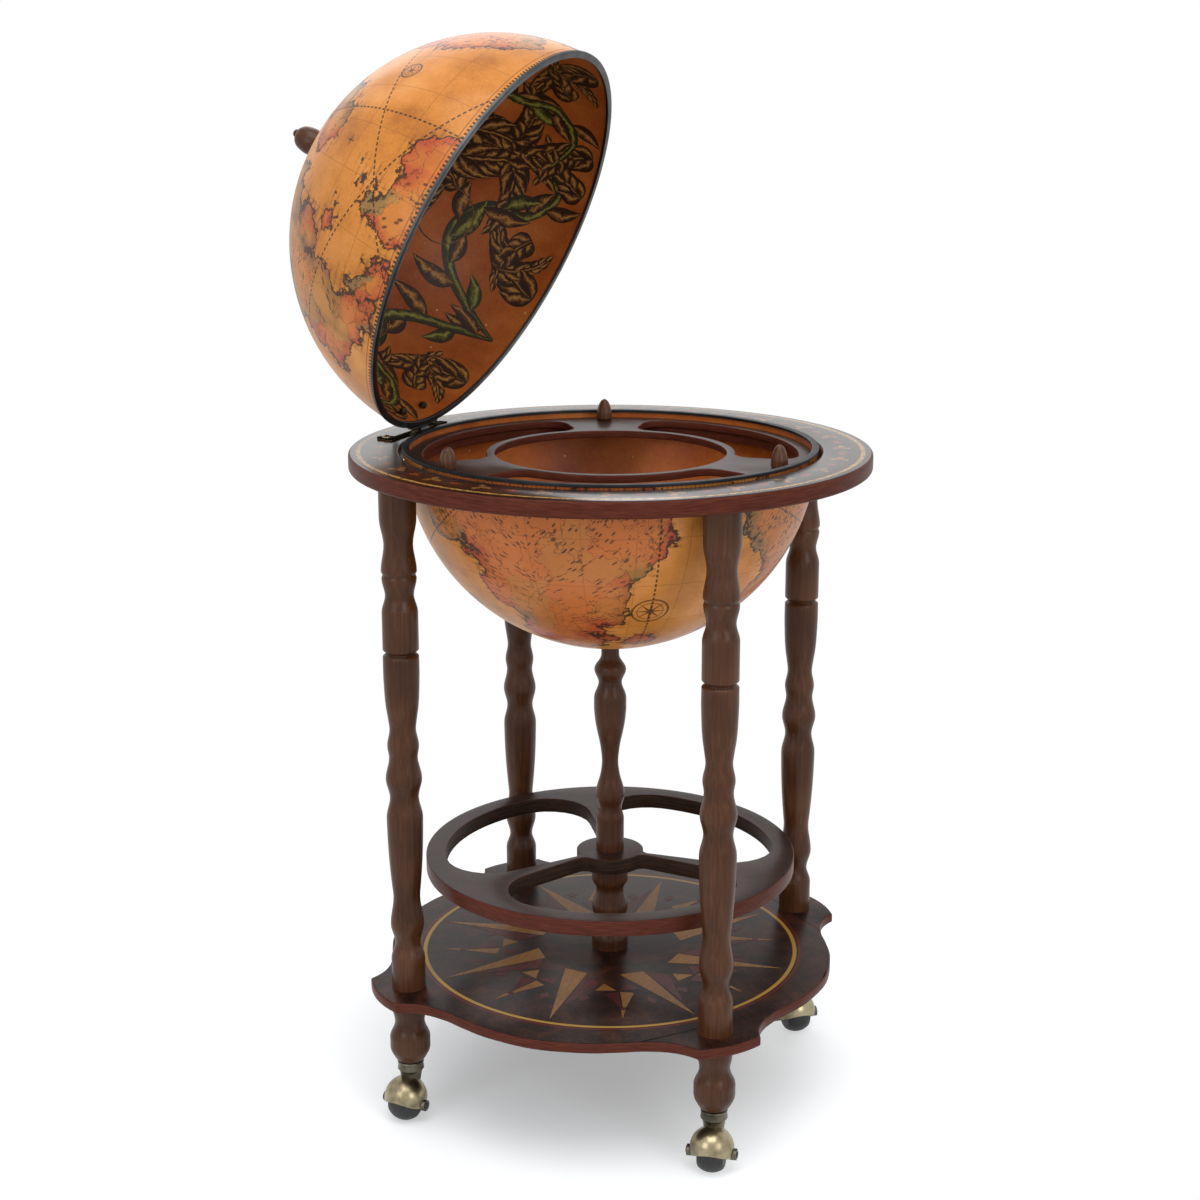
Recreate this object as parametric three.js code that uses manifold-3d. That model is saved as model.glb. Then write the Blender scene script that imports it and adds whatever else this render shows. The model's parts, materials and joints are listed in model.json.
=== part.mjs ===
// A floor-standing globe bar. The globe opens on a hinge at its back and stands on a turned pillar,
// through the hole of a wooden ring on four turned legs with casters. Lengths are millimetres,
// +Z is up, the hinge is on the +Y side, and the lid is modelled open.
import * as THREE from 'three';
import { mergeVertices } from 'three/addons/utils/BufferGeometryUtils.js';
import Module from 'manifold-3d';

const wasm = await Module();
wasm.setup();

const degree = Math.PI / 180;
const fullTurn = 2 * Math.PI;
const upright = Math.PI / 2;

// Fits
const seatGap = 0.3; // between pieces that rest on, enclose or follow one another
const holeGap = 0.5; // around studs, stems and screws in turned wood
const overrun = 2; // how far a cutting body runs past what it cuts
const weldDistance = 0.0005;

// Steps of the round forms
const globeSides = 36;
const globeRows = 9;
const leafSides = 72;
const turnedSides = 8;
const pillarSides = 12;
const boreSides = 10;
const wheelSides = 16;
const hoodSides = 12;
const hoodRows = 8;
const cornerSteps = 4;
const outlineSpacing = 4; // points of the shelf's outline stand at least this far apart

// Stand: casters, feet, shelf, legs and ring, from the floor up
const casterHeight = 60.5; // floor to the underside of a foot
const footHeight = 65.5;
const footRadius = 19.45;
const shelfThickness = 10;
const lobeReach = 32.4; // shelf edge beyond the centre of a leg
const legHeight = 493;
const legRadius = 17.2;
const legInset = 30.9; // leg centre in from the ring's outer edge
const legTurn = 4.5 * degree; // the legs stand this far round from the diagonals
const ringThickness = 16;
const ringWidth = 48.3;
const ringHoleGap = 2.4; // around the globe's rim band
const ringEdgeRadius = 3;
const tenonRadius = 8;
const tenonHeight = 10;
const studRadius = 4;
const studInLeg = 28;
const studInFoot = 24;

// Globe
const globeRadius = 195.5;
const globeWall = 4;
const splitRise = 4; // the globe's split plane above the ring's top
const rimGap = 0.8; // between the two rim bands of the closed globe
const bandThickness = 1;
const bandHeight = 2.6;
const openAngle = 65 * degree;

// Pillar and bottle rack
const lowerPostHeight = 88.5;
const lowerPostRadius = 18;
const upperPostRadius = 15.85;
const rackThickness = 15;
const rackLegGap = 16.9; // between the rack's edge and the legs
const rackRim = 20;
const rackHubRadius = 33;
const rackHalfAngle = 55.7 * degree;
const rackOuterCorner = 45;
const rackInnerCorner = 9;
const boltRadius = 4;
const boltHeadRadius = 9;
const boltHeadHeight = 5;
const nutRadius = 8;
const nutHeight = 7;
const boltOverNut = 5;

// Inside of the globe
const trayRecess = 7.5; // tray top below the lower rim band's top
const trayGap = 0.4; // between the tray's edge and the rim band
const trayThickness = 7;
const trayRim = 12;
const trayHoleRadius = 110;
const trayTurn = -5 * degree; // slots and knobs, against the rack openings
const trayLand = 8; // the narrow ring between the middle hole and the slots
const slotHalfAngle = 46 * degree;
const slotCorner = 20;
const trayKnobInset = 15.8;
const trayKnobRadius = 8;
const trayKnobHeight = 22;
const trayPegRadius = 3;
const trayPegHeight = 5;
const ledgeWidth = 10;
const ledgeHeight = 8;
const bottleFloorRise = 67.5; // bottle floor's top above the inside of the globe's pole
const bottleFloorThickness = 6;

// Knob on top of the lid
const knobRadius = 13.2;
const knobHeight = 46;
const knobScrewRadius = 2;
const knobScrewReach = 20; // into the knob
const screwHeadRadius = 4.5;
const screwHeadHeight = 2.5;
const poleSeatGap = 0.5; // heads and nuts on the stepped inside of the globe's poles

// Hinge
const barrelRadius = 3;
const barrelGap = 0.4; // between the barrel and the rim bands
const barrelHalfLength = 22;
const middleKnuckleHalf = 8;
const pinRadius = 1.6;
const leafThickness = 1.6;
const upperLeafHalfWidth = 29;
const upperLeafHeight = 28; // above the split plane
const stripWidth = 8.5;
const leafFootSpread = 46; // foot centre from the middle of the hinge
const leafFootHalfWidth = 12;
const leafFootReach = 22.5; // from the strip's inner edge
const leafScrewInset = 12.5;
const leafScrewRadius = 2;
const leafScrewReach = 12;
const leafScrewHeadRadius = 4.2;
const leafScrewHeadHeight = 2.8;
const stopTabHalfWidth = 6;
const stopTabReach = 7; // from the pin's axis
const lidBoltTurn = 6.3 * degree; // each lid bolt from the middle of the hinge
const lidBoltRise = 18; // above the split plane
const lidBoltRadius = 2;
const lidBoltCapRadius = 4.1;
const lidBoltCapHeight = 8;
const lidNutRadius = 4;
const lidNutHeight = 3;
const lidBoltOverNut = 2;

// Casters
const wheelRadius = 19;
const treadHalfWidth = 12.5;
const treadBandHalf = 4; // the cylindrical middle of the tread
const wheelHubRadius = 5;
const wheelHubGap = 1.5; // between the hub and the inside of the hood
const hoodClearance = 2; // between the tread and the hood
const hoodWall = 1.4;
const hoodRise = 4.5; // the hood's centre above the axle
const archHeight = 20; // top of the arched lower edge above the floor
const archRadius = 52;
const trail = 10; // axle behind the stem
const earRadius = 6;
const earProud = 2.6;
const axleRadius = 2;
const axleHeadRadius = 3.6;
const axleHeadHeight = 0.8;
const stemRadius = 4.2;
const stemInFoot = 30;
const washerRadius = 5.8;
const washerThickness = 2;
const cupRadius = 14;
const cupHeight = 12.2;
const cupFloor = 1.2;
const cupRimWidth = 2.4;
const cupRecessDepth = 2;
const neckTopRadius = 13;
const neckBaseRadius = 9;
const neckRise = 8.5; // the neck's base above the hood's centre

// Places worked out from the sizes above
const shelfUnderside = casterHeight + footHeight;
const shelfTop = shelfUnderside + shelfThickness;
const ringUnderside = shelfTop + legHeight;
const ringTop = ringUnderside + ringThickness;
const splitHeight = ringTop + splitRise;
const innerRadius = globeRadius - globeWall;
const bandOuter = globeRadius + seatGap + bandThickness;
const bandInner = innerRadius - seatGap - bandThickness;
const bandEdge = rimGap / 2;
const wallEdge = bandEdge + bandThickness + seatGap;
const ringHole = bandOuter + ringHoleGap;
const ringOuter = ringHole + ringWidth;
const legCircle = ringOuter - legInset;
const shelfReach = legCircle + lobeReach;
const rackUnderside = shelfTop + lowerPostHeight;
const rackTop = rackUnderside + rackThickness;
const rackRadius = legCircle - legRadius - rackLegGap;
const boltHole = boltRadius + seatGap;
const studHole = studRadius + holeGap;
const stemHole = stemRadius + holeGap;
const trayRadius = bandInner - trayGap;
const trayTop = splitHeight - bandEdge - trayRecess;
const trayUnderside = trayTop - trayThickness;
const bottleDepth = innerRadius - bottleFloorRise;
const hingeY = bandOuter + barrelGap + barrelRadius;
const hingeZ = ringTop + seatGap + barrelRadius;
const facetShare = Math.cos(Math.PI / globeSides) * Math.cos(Math.PI / 4 / globeRows);
const lidNutSeat = innerRadius * facetShare - seatGap;
const leafInner = globeRadius + seatGap;
const leafOuter = leafInner + leafThickness;
const stripInner = hingeY + barrelRadius + seatGap;
const axleHeight = wheelRadius * Math.cos(Math.PI / wheelSides);
const hoodInner = wheelRadius + hoodClearance;
const hoodOuter = hoodInner + hoodWall;
const hoodCentre = axleHeight + hoodRise;
const cupTop = casterHeight - washerThickness - seatGap;
const cupUnderside = cupTop - cupHeight;
const spokeTurns = [-90, 30, 150].map((turn) => turn * degree);
const openingTurns = [90, -30, -150].map((turn) => turn * degree);

// The four legs by name: where each stands, and which way its caster has swung
const corners = [
	{ side: 'back_right', turn: 45 * degree, casterTurn: 62 * degree },
	{ side: 'back_left', turn: 135 * degree, casterTurn: 85 * degree },
	{ side: 'front_left', turn: 225 * degree, casterTurn: 101 * degree },
	{ side: 'front_right', turn: 315 * degree, casterTurn: 130 * degree },
];

// Turned outlines: share of the height, then share of the largest radius
const legShares = [
	[0, 0.936], [0.061, 0.936], [0.093, 0.692], [0.132, 0.93], [0.187, 0.741], [0.213, 0.802],
	[0.239, 0.866], [0.276, 0.936], [0.312, 0.977], [0.351, 0.997], [0.391, 0.785], [0.429, 0.994],
	[0.471, 0.779], [0.495, 0.866], [0.527, 0.718], [0.548, 0.785], [0.572, 0.884], [0.594, 0.936],
	[0.619, 0.965], [0.643, 0.983], [0.666, 0.977], [0.678, 0.866], [0.691, 0.977], [0.757, 0.977],
	[0.789, 0.773], [0.82, 0.942], [0.829, 0.907], [0.846, 0.971], [0.886, 0.785], [0.937, 1], [1, 1],
];
const footShares = [
	[0, 0.7], [0.03, 0.77], [0.084, 0.869], [0.14, 0.96], [0.206, 1], [0.359, 1], [0.43, 0.93],
	[0.52, 0.79], [0.603, 0.735], [0.786, 0.838], [1, 0.874],
];
const upperPostShares = [
	[0, 0.871], [0.152, 0.871], [0.204, 0.726], [0.269, 0.915], [0.372, 0.593], [0.428, 0.505],
	[0.498, 0.593], [0.578, 0.808], [0.615, 0.902], [0.653, 0.965], [0.69, 1], [0.737, 1],
	[0.81, 0.713], [0.873, 0.984], [0.938, 0.555], [1, 0.543],
];
const lowerPostShares = [
	[0, 1], [0.102, 1], [0.271, 0.722], [0.475, 1], [0.701, 0.75], [0.814, 1], [1, 1],
];
const knobShares = [
	[0, 0.8], [0.07, 0.8], [0.13, 0.5], [0.21, 0.48], [0.31, 0.78], [0.42, 0.95], [0.54, 1],
	[0.66, 0.95], [0.77, 0.84], [0.86, 0.6], [0.905, 0.3], [0.94, 0.3], [0.98, 0.2], [1, 0],
];
const trayKnobShares = [
	[0, 0.8], [0.08, 1], [0.3, 0.97], [0.55, 0.85], [0.78, 0.62], [0.93, 0.33], [1, 0],
];
const capShares = [
	[0, 1], [0.16, 1], [0.26, 0.76], [0.42, 0.88], [0.66, 0.74], [0.87, 0.42], [1, 0],
];
const roundHeadShares = [[0, 1], [0.35, 0.94], [0.75, 0.6], [1, 0]];

// Outline of one shelf lobe as shares of the shelf's reach, along and across the leg's direction
const lobeCornerShares = [0.977, 0.131];
const lobeFrontShares = [1.023, 0];
const coveBendShares = [0.892, 0.161];
const coveEndShares = [0.847, 0.249];
const waistShares = [[0.826, 0.29], [0.797, 0.369], [0.744, 0.483], [0.633, 0.633]];
const scallopShares = [
	[1, 0.3], [0.66, 0.4], [0.8, 0.62], [0.78, 0.86], [0.42, 0.84], [0.24, 0.98],
];

// Meshes and solids

// Vertices merged, collapsed triangles left out, faces turned outwards
function weld(geometry) {
	const bare = new THREE.BufferGeometry();
	bare.setAttribute('position', geometry.attributes.position);
	bare.setIndex(geometry.index);
	const merged = mergeVertices(bare, weldDistance);
	const place = merged.attributes.position;
	const corner = [new THREE.Vector3(), new THREE.Vector3(), new THREE.Vector3()];
	const kept = [];
	let volume = 0;
	for (let i = 0; i < merged.index.count; i += 3) {
		const triangle = [0, 1, 2].map((step) => merged.index.getX(i + step));
		if (new Set(triangle).size < 3) continue;
		triangle.forEach((vertex, step) => corner[step].fromBufferAttribute(place, vertex));
		volume += corner[0].dot(corner[1].cross(corner[2]));
		kept.push(triangle);
	}
	if (volume < 0) kept.forEach((triangle) => triangle.reverse());
	merged.setIndex(kept.flat());
	merged.computeVertexNormals();
	return merged;
}

function solidOf(geometry) {
	const welded = weld(geometry);
	const vertProperties = Float32Array.from(welded.attributes.position.array);
	const triVerts = Uint32Array.from(welded.index.array);
	return new wasm.Manifold(new wasm.Mesh({ numProp: 3, vertProperties, triVerts }));
}

function geometryOf(solid) {
	const { vertProperties, triVerts } = solid.getMesh();
	const geometry = new THREE.BufferGeometry();
	geometry.setAttribute('position', new THREE.BufferAttribute(vertProperties, 3));
	geometry.setIndex(new THREE.BufferAttribute(triVerts, 1));
	return geometry;
}

function join(...geometries) {
	return geometryOf(geometries.map(solidOf).reduce((whole, next) => whole.add(next)));
}

function cut(geometry, ...tools) {
	return geometryOf(tools.map(solidOf).reduce((whole, tool) => whole.subtract(tool), solidOf(geometry)));
}

function common(first, second) {
	return geometryOf(solidOf(first).intersect(solidOf(second)));
}

// An outline of radius and height turned about the Z axis
function lathe(points, sides) {
	const outline = points.map(([radius, height]) => new THREE.Vector2(radius, height));
	const geometry = new THREE.LatheGeometry(outline, sides);
	geometry.rotateX(upright);
	return geometry;
}

function ringLathe(points, sides) {
	return lathe([...points, points[0]], sides);
}

// A round bar standing on z = 0
function rod(radius, length, sides) {
	return lathe([[0, 0], [radius, 0], [radius, length], [0, length]], sides);
}

// A round bar along X, its middle at the origin
function crossRod(radius, length, sides) {
	const bar = rod(radius, length, sides);
	bar.translate(0, 0, -length / 2);
	bar.rotateY(upright);
	return bar;
}

function block(low, high) {
	const size = high.map((value, axis) => value - low[axis]);
	const box = new THREE.BoxGeometry(...size);
	box.translate(...high.map((value, axis) => (value + low[axis]) / 2));
	return box;
}

function turnedOutline(shares, radius, height) {
	return shares.map(([heightShare, radiusShare]) => [radius * radiusShare, height * heightShare]);
}

function arc(centreX, centreY, radius, from, to, steps) {
	const curve = new THREE.EllipseCurve(centreX, centreY, radius, radius, from, to, to < from);
	return curve.getPoints(steps);
}

function circle(centreX, centreY, radius, sides) {
	return arc(centreX, centreY, radius, 0, fullTurn, sides).slice(0, sides);
}

function board(outline, holes, thickness) {
	const shape = new THREE.Shape(outline);
	shape.holes = holes.map((hole) => new THREE.Path(hole));
	return new THREE.ExtrudeGeometry(shape, { depth: thickness, bevelEnabled: false });
}

// A sector of a ring with rounded corners
function sector(turn, halfAngle, inner, outer, innerCorner, outerCorner, edgeSteps) {
	const outerSpan = halfAngle - Math.asin(outerCorner / (outer - outerCorner));
	const innerSpan = halfAngle - Math.asin(innerCorner / (inner + innerCorner));
	const corner = (radius, angle, size, from, to) => {
		const x = radius * Math.cos(angle);
		const y = radius * Math.sin(angle);
		return arc(x, y, size, from, to, cornerSteps);
	};
	const left = turn + halfAngle + upright;
	const right = turn - halfAngle - upright;
	const inwards = Math.PI;
	return [
		...arc(0, 0, outer, turn - outerSpan, turn + outerSpan, edgeSteps).slice(0, -1),
		...corner(outer - outerCorner, turn + outerSpan, outerCorner, turn + outerSpan, left),
		...corner(inner + innerCorner, turn + innerSpan, innerCorner, left, turn + innerSpan + inwards),
		...arc(0, 0, inner, turn + innerSpan, turn - innerSpan, cornerSteps).slice(1, -1),
		...corner(inner + innerCorner, turn - innerSpan, innerCorner,
			turn - innerSpan - inwards, right),
		...corner(outer - outerCorner, turn - outerSpan, outerCorner, right, turn - outerSpan).slice(0, -1),
	];
}

// Materials

const walnut = { color: 0x5b3a2b, roughness: 0.38, metalness: 0 };
const darkBoard = { color: 0x402a24, roughness: 0.3, metalness: 0 };
const mapPaper = { color: 0xc98442, roughness: 0.4, metalness: 0 };
const bronzedSteel = { color: 0x3b3d3c, roughness: 0.4, metalness: 0.7 };
const antiqueBrass = { color: 0x8c7a4a, roughness: 0.35, metalness: 0.9 };
const zincSteel = { color: 0x9a9a9c, roughness: 0.35, metalness: 0.9 };
const blackRubber = { color: 0x1b1b1d, roughness: 0.6, metalness: 0 };

const globeBar = new THREE.Group();

function addPiece(parent, name, geometry, finish) {
	const mesh = new THREE.Mesh(weld(geometry), new THREE.MeshStandardMaterial(finish));
	mesh.name = name;
	parent.add(mesh);
	return mesh;
}

// Shelf: a lobe with a coved shoulder under each leg, and a shallow bow between the lobes
function shelfOutline() {
	const outline = new THREE.Shape();
	const place = ([along, across], turn) => {
		const point = new THREE.Vector2(shelfReach * along, shelfReach * across);
		return point.rotateAround(new THREE.Vector2(), turn);
	};
	const mirrored = ([along, across]) => [along, -across];
	const swapped = ([along, across]) => [across, along];
	corners.forEach(({ turn }, index) => {
		const start = place(mirrored(lobeCornerShares), turn);
		if (index === 0) outline.moveTo(start.x, start.y);
		const curveTo = (bend, end) => {
			const bendPoint = place(bend, turn);
			const endPoint = place(end, turn);
			outline.quadraticCurveTo(bendPoint.x, bendPoint.y, endPoint.x, endPoint.y);
		};
		curveTo(lobeFrontShares, lobeCornerShares);
		curveTo(coveBendShares, coveEndShares);
		const waist = [...waistShares, ...waistShares.slice(0, -1).reverse().map(swapped)];
		outline.splineThru([...waist, swapped(coveEndShares)].map((share) => place(share, turn)));
		curveTo(swapped(coveBendShares), swapped(lobeCornerShares));
	});
	const points = outline.getPoints(cornerSteps - 2);
	return points.filter((point, index) => {
		const next = points[(index + 1) % points.length];
		return point.distanceTo(next) > outlineSpacing;
	});
}

const legPlaces = corners.map(({ turn }) => [legCircle * Math.cos(turn), legCircle * Math.sin(turn)]);

// Everything on the legs turns with them
const stand = new THREE.Group();
stand.rotation.z = legTurn;
globeBar.add(stand);

const shelfHoles = [
	circle(0, 0, boltHole, boreSides),
	...legPlaces.map(([x, y]) => circle(x, y, studHole, boreSides)),
];
addPiece(stand, 'bottom_shelf', board(shelfOutline(), shelfHoles, shelfThickness), darkBoard)
	.position.z = shelfUnderside;

// Legs, feet and studs
const legOutline = [
	[0, studInLeg + seatGap], [studHole, studInLeg + seatGap], [studHole, 0],
	...turnedOutline(legShares, legRadius, legHeight),
	[tenonRadius, legHeight], [tenonRadius, legHeight + tenonHeight], [0, legHeight + tenonHeight],
];
const footOutline = [
	[0, stemInFoot + seatGap], [stemHole, stemInFoot + seatGap], [stemHole, 0],
	...turnedOutline(footShares, footRadius, footHeight),
	[studHole, footHeight], [studHole, footHeight - studInFoot - seatGap],
	[0, footHeight - studInFoot - seatGap],
];
const studLength = studInFoot + shelfThickness + studInLeg;
corners.forEach(({ side }, index) => {
	const [x, y] = legPlaces[index];
	addPiece(stand, `leg_${side}`, lathe(legOutline, turnedSides), walnut).position.set(x, y, shelfTop);
	addPiece(stand, `foot_${side}`, lathe(footOutline, turnedSides), walnut)
		.position.set(x, y, casterHeight);
	addPiece(stand, `leg_stud_${side}`, rod(studRadius, studLength, boreSides), zincSteel)
		.position.set(x, y, shelfUnderside - studInFoot);
});

// Casters: the stem stays in the foot, the hood swivels on it and carries the axle and the wheel

// A round piece of the caster that lies along its axle
function onAxle(geometry) {
	geometry.rotateY(upright);
	geometry.translate(0, trail, axleHeight);
	return geometry;
}

function hoodBall(radius) {
	const ball = new THREE.SphereGeometry(radius, hoodSides, hoodRows);
	ball.rotateX(upright);
	ball.translate(0, trail, hoodCentre);
	return ball;
}

function casterHood() {
	const recessFloor = cupTop - cupRecessDepth;
	const collar = lathe([
		[0, hoodCentre + neckRise], [neckBaseRadius, hoodCentre + neckRise],
		[neckTopRadius, cupUnderside], [cupRadius, cupUnderside], [cupRadius, cupTop],
		[cupRadius - cupRimWidth, cupTop], [cupRadius - cupRimWidth, recessFloor], [0, recessFloor],
	], boreSides);
	const stemBore = rod(stemHole, cupHeight, boreSides);
	stemBore.translate(0, 0, cupUnderside + cupFloor);
	const arch = rod(archRadius, 2 * (hoodOuter + overrun), 2 * hoodSides);
	arch.rotateX(upright);
	arch.translate(0, trail + hoodOuter + overrun, archHeight - archRadius);
	const ears = onAxle(lathe([
		[0, -hoodOuter - earProud], [earRadius, -hoodOuter - earProud],
		[earRadius, hoodOuter + earProud], [0, hoodOuter + earProud],
	], boreSides));
	const axleBore = crossRod(axleRadius + seatGap, 2 * (hoodOuter + earProud + overrun), boreSides);
	axleBore.translate(0, trail, axleHeight);
	const dome = join(cut(hoodBall(hoodOuter), arch), ears, collar);
	return cut(dome, hoodBall(hoodInner), axleBore, stemBore);
}

function casterWheel() {
	const hubEnd = Math.sqrt(hoodInner ** 2 - (hoodRise + wheelHubRadius) ** 2) - wheelHubGap;
	const bore = axleRadius + seatGap;
	const shoulder = (treadBandHalf + treadHalfWidth) / 2;
	const ballRadius = (offset) => Math.sqrt(wheelRadius ** 2 - offset ** 2);
	const wheel = ringLathe([
		[bore, -hubEnd], [wheelHubRadius, -hubEnd], [wheelHubRadius, -treadHalfWidth],
		[ballRadius(treadHalfWidth), -treadHalfWidth], [ballRadius(shoulder), -shoulder],
		[wheelRadius, -treadBandHalf], [wheelRadius, treadBandHalf], [ballRadius(shoulder), shoulder],
		[ballRadius(treadHalfWidth), treadHalfWidth], [wheelHubRadius, treadHalfWidth],
		[wheelHubRadius, hubEnd], [bore, hubEnd],
	], wheelSides);
	wheel.rotateZ(Math.PI / wheelSides);
	return onAxle(wheel);
}

function casterAxle() {
	const headStart = hoodOuter + earProud + seatGap;
	const headEnd = headStart + axleHeadHeight;
	return onAxle(lathe([
		[0, -headEnd], [axleHeadRadius, -headEnd], [axleHeadRadius, -headStart],
		[axleRadius, -headStart], [axleRadius, headStart],
		[axleHeadRadius, headStart], [axleHeadRadius, headEnd], [0, headEnd],
	], boreSides));
}

function casterStem() {
	const stemFoot = cupUnderside + cupFloor + seatGap;
	return lathe([
		[0, stemFoot], [stemRadius, stemFoot], [stemRadius, casterHeight - washerThickness],
		[washerRadius, casterHeight - washerThickness], [washerRadius, casterHeight],
		[stemRadius, casterHeight], [stemRadius, casterHeight + stemInFoot],
		[0, casterHeight + stemInFoot],
	], boreSides);
}

corners.forEach(({ side, casterTurn }, index) => {
	const caster = new THREE.Group();
	caster.position.set(...legPlaces[index], 0);
	caster.rotation.z = casterTurn - legTurn;
	stand.add(caster);
	addPiece(caster, `caster_stem_${side}`, casterStem(), zincSteel);
	addPiece(caster, `caster_hood_${side}`, casterHood(), antiqueBrass);
	addPiece(caster, `caster_axle_${side}`, casterAxle(), bronzedSteel);
	addPiece(caster, `caster_wheel_${side}`, casterWheel(), blackRubber);
});

// Ring: sockets for the leg tenons below, pilot holes for the hinge screws above
function topRing() {
	const rounding = (centreRadius, centreHeight, from, to) =>
		arc(centreRadius, centreHeight, ringEdgeRadius, from, to, 1).map((point) => point.toArray());
	const innerCentre = ringHole + ringEdgeRadius;
	const outerCentre = ringOuter - ringEdgeRadius;
	const topCentre = ringThickness - ringEdgeRadius;
	const body = ringLathe([
		[ringHole, 0], ...rounding(outerCentre, ringEdgeRadius, -upright, 0),
		...rounding(outerCentre, topCentre, 0, upright),
		...rounding(innerCentre, topCentre, upright, Math.PI),
	], globeSides);
	const sockets = corners.map(({ turn }) => {
		const socket = rod(tenonRadius + seatGap, tenonHeight + seatGap + overrun, turnedSides);
		const azimuth = turn + legTurn;
		socket.rotateZ(legTurn);
		socket.translate(legCircle * Math.cos(azimuth), legCircle * Math.sin(azimuth), -overrun);
		return socket;
	});
	const pilots = [-leafFootSpread, leafFootSpread].map((x) => {
		const reach = leafScrewReach - leafThickness + seatGap;
		const pilot = rod(leafScrewRadius + seatGap, reach + overrun, boreSides);
		pilot.translate(x, stripInner + leafScrewInset, ringThickness - reach);
		return pilot;
	});
	return cut(body, ...sockets, ...pilots);
}
addPiece(globeBar, 'top_ring', topRing(), darkBoard).position.z = ringUnderside;

// Pillar and rack
function post(shares, radius, height) {
	return ringLathe([
		[boltHole, 0], ...turnedOutline(shares, radius, height), [boltHole, height],
	], pillarSides);
}
const globePole = splitHeight - globeRadius;
const upperPostHeight = globePole - seatGap - rackTop;
addPiece(globeBar, 'post_lower', post(lowerPostShares, lowerPostRadius, lowerPostHeight), walnut)
	.position.z = shelfTop;
addPiece(globeBar, 'post_upper', post(upperPostShares, upperPostRadius, upperPostHeight), walnut)
	.position.z = rackTop;

const rackOpenings = openingTurns.map((turn) => sector(turn, rackHalfAngle, rackHubRadius,
	rackRadius - rackRim, rackInnerCorner, rackOuterCorner, cornerSteps + 1));
addPiece(globeBar, 'bottle_rack', board(circle(0, 0, rackRadius, globeSides),
	[circle(0, 0, boltHole, boreSides), ...rackOpenings], rackThickness), darkBoard)
	.position.z = rackUnderside;

// One long bolt clamps shelf, posts, rack and globe together
const nutSeat = splitHeight - innerRadius + poleSeatGap;
const boltLength = boltHeadHeight + nutSeat + nutHeight + boltOverNut - shelfUnderside;
addPiece(globeBar, 'pillar_bolt', lathe([
	[0, 0], [boltHeadRadius, 0], [boltHeadRadius, boltHeadHeight], [boltRadius, boltHeadHeight],
	[boltRadius, boltLength], [0, boltLength],
], boreSides), zincSteel).position.z = shelfUnderside - boltHeadHeight;
addPiece(globeBar, 'pillar_nut', ringLathe([
	[boltHole, 0], [nutRadius, 0], [nutRadius, nutHeight], [boltHole, nutHeight],
], boreSides), zincSteel).position.z = nutSeat;

// Globe: two domes, drawn as the upper one, with the split plane at z = 0
function wallArc(radius, poleHole) {
	const from = Math.asin(wallEdge / radius);
	const to = Math.acos(poleHole / radius);
	return arc(0, 0, radius, from, to, globeRows).map((point) => point.toArray());
}

// How far the stepped inner wall is from the axis, at this height from the split plane
function wallRadiusAt(height) {
	const wall = wallArc(innerRadius, boltHole);
	const above = wall.findIndex((point) => point[1] > height);
	const [lowRadius, lowHeight] = wall[above - 1];
	const [highRadius, highHeight] = wall[above];
	return THREE.MathUtils.mapLinear(height, lowHeight, highHeight, lowRadius, highRadius);
}

function dome(poleHole) {
	return ringLathe([...wallArc(globeRadius, poleHole), ...wallArc(innerRadius, poleHole).reverse()],
		globeSides);
}

function rimBand() {
	const grooveOuter = globeRadius + seatGap;
	const grooveInner = innerRadius - seatGap;
	const bandTop = bandEdge + bandHeight;
	const grooveFloor = bandEdge + bandThickness;
	return ringLathe([
		[bandOuter, bandEdge], [bandOuter, bandTop], [grooveOuter, bandTop], [grooveOuter, grooveFloor],
		[grooveInner, grooveFloor], [grooveInner, bandTop], [bandInner, bandTop], [bandInner, bandEdge],
	], globeSides);
}

const bowl = new THREE.Group();
bowl.position.z = splitHeight;
globeBar.add(bowl);
addPiece(bowl, 'globe_lower_shell', dome(boltHole), mapPaper).rotation.x = Math.PI;
addPiece(bowl, 'lower_rim_band', rimBand(), bronzedSteel).rotation.x = Math.PI;

// Ledge and bottle floor follow the stepped inner wall
const ledgeTop = splitHeight - trayUnderside;
const ledgeFoot = ledgeTop + ledgeHeight;
addPiece(bowl, 'tray_ledge', ringLathe([
	[trayRadius - ledgeWidth, -ledgeTop], [wallRadiusAt(ledgeTop) - seatGap, -ledgeTop],
	[wallRadiusAt(ledgeFoot) - seatGap, -ledgeFoot], [trayRadius - ledgeWidth, -ledgeFoot],
], globeSides), darkBoard);
const bottleFloorFoot = bottleDepth + bottleFloorThickness;
addPiece(bowl, 'bottle_floor', lathe([
	[0, -bottleFloorFoot], [wallRadiusAt(bottleFloorFoot) - seatGap, -bottleFloorFoot],
	[wallRadiusAt(bottleDepth) - seatGap, -bottleDepth], [0, -bottleDepth],
], globeSides), darkBoard);

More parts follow.
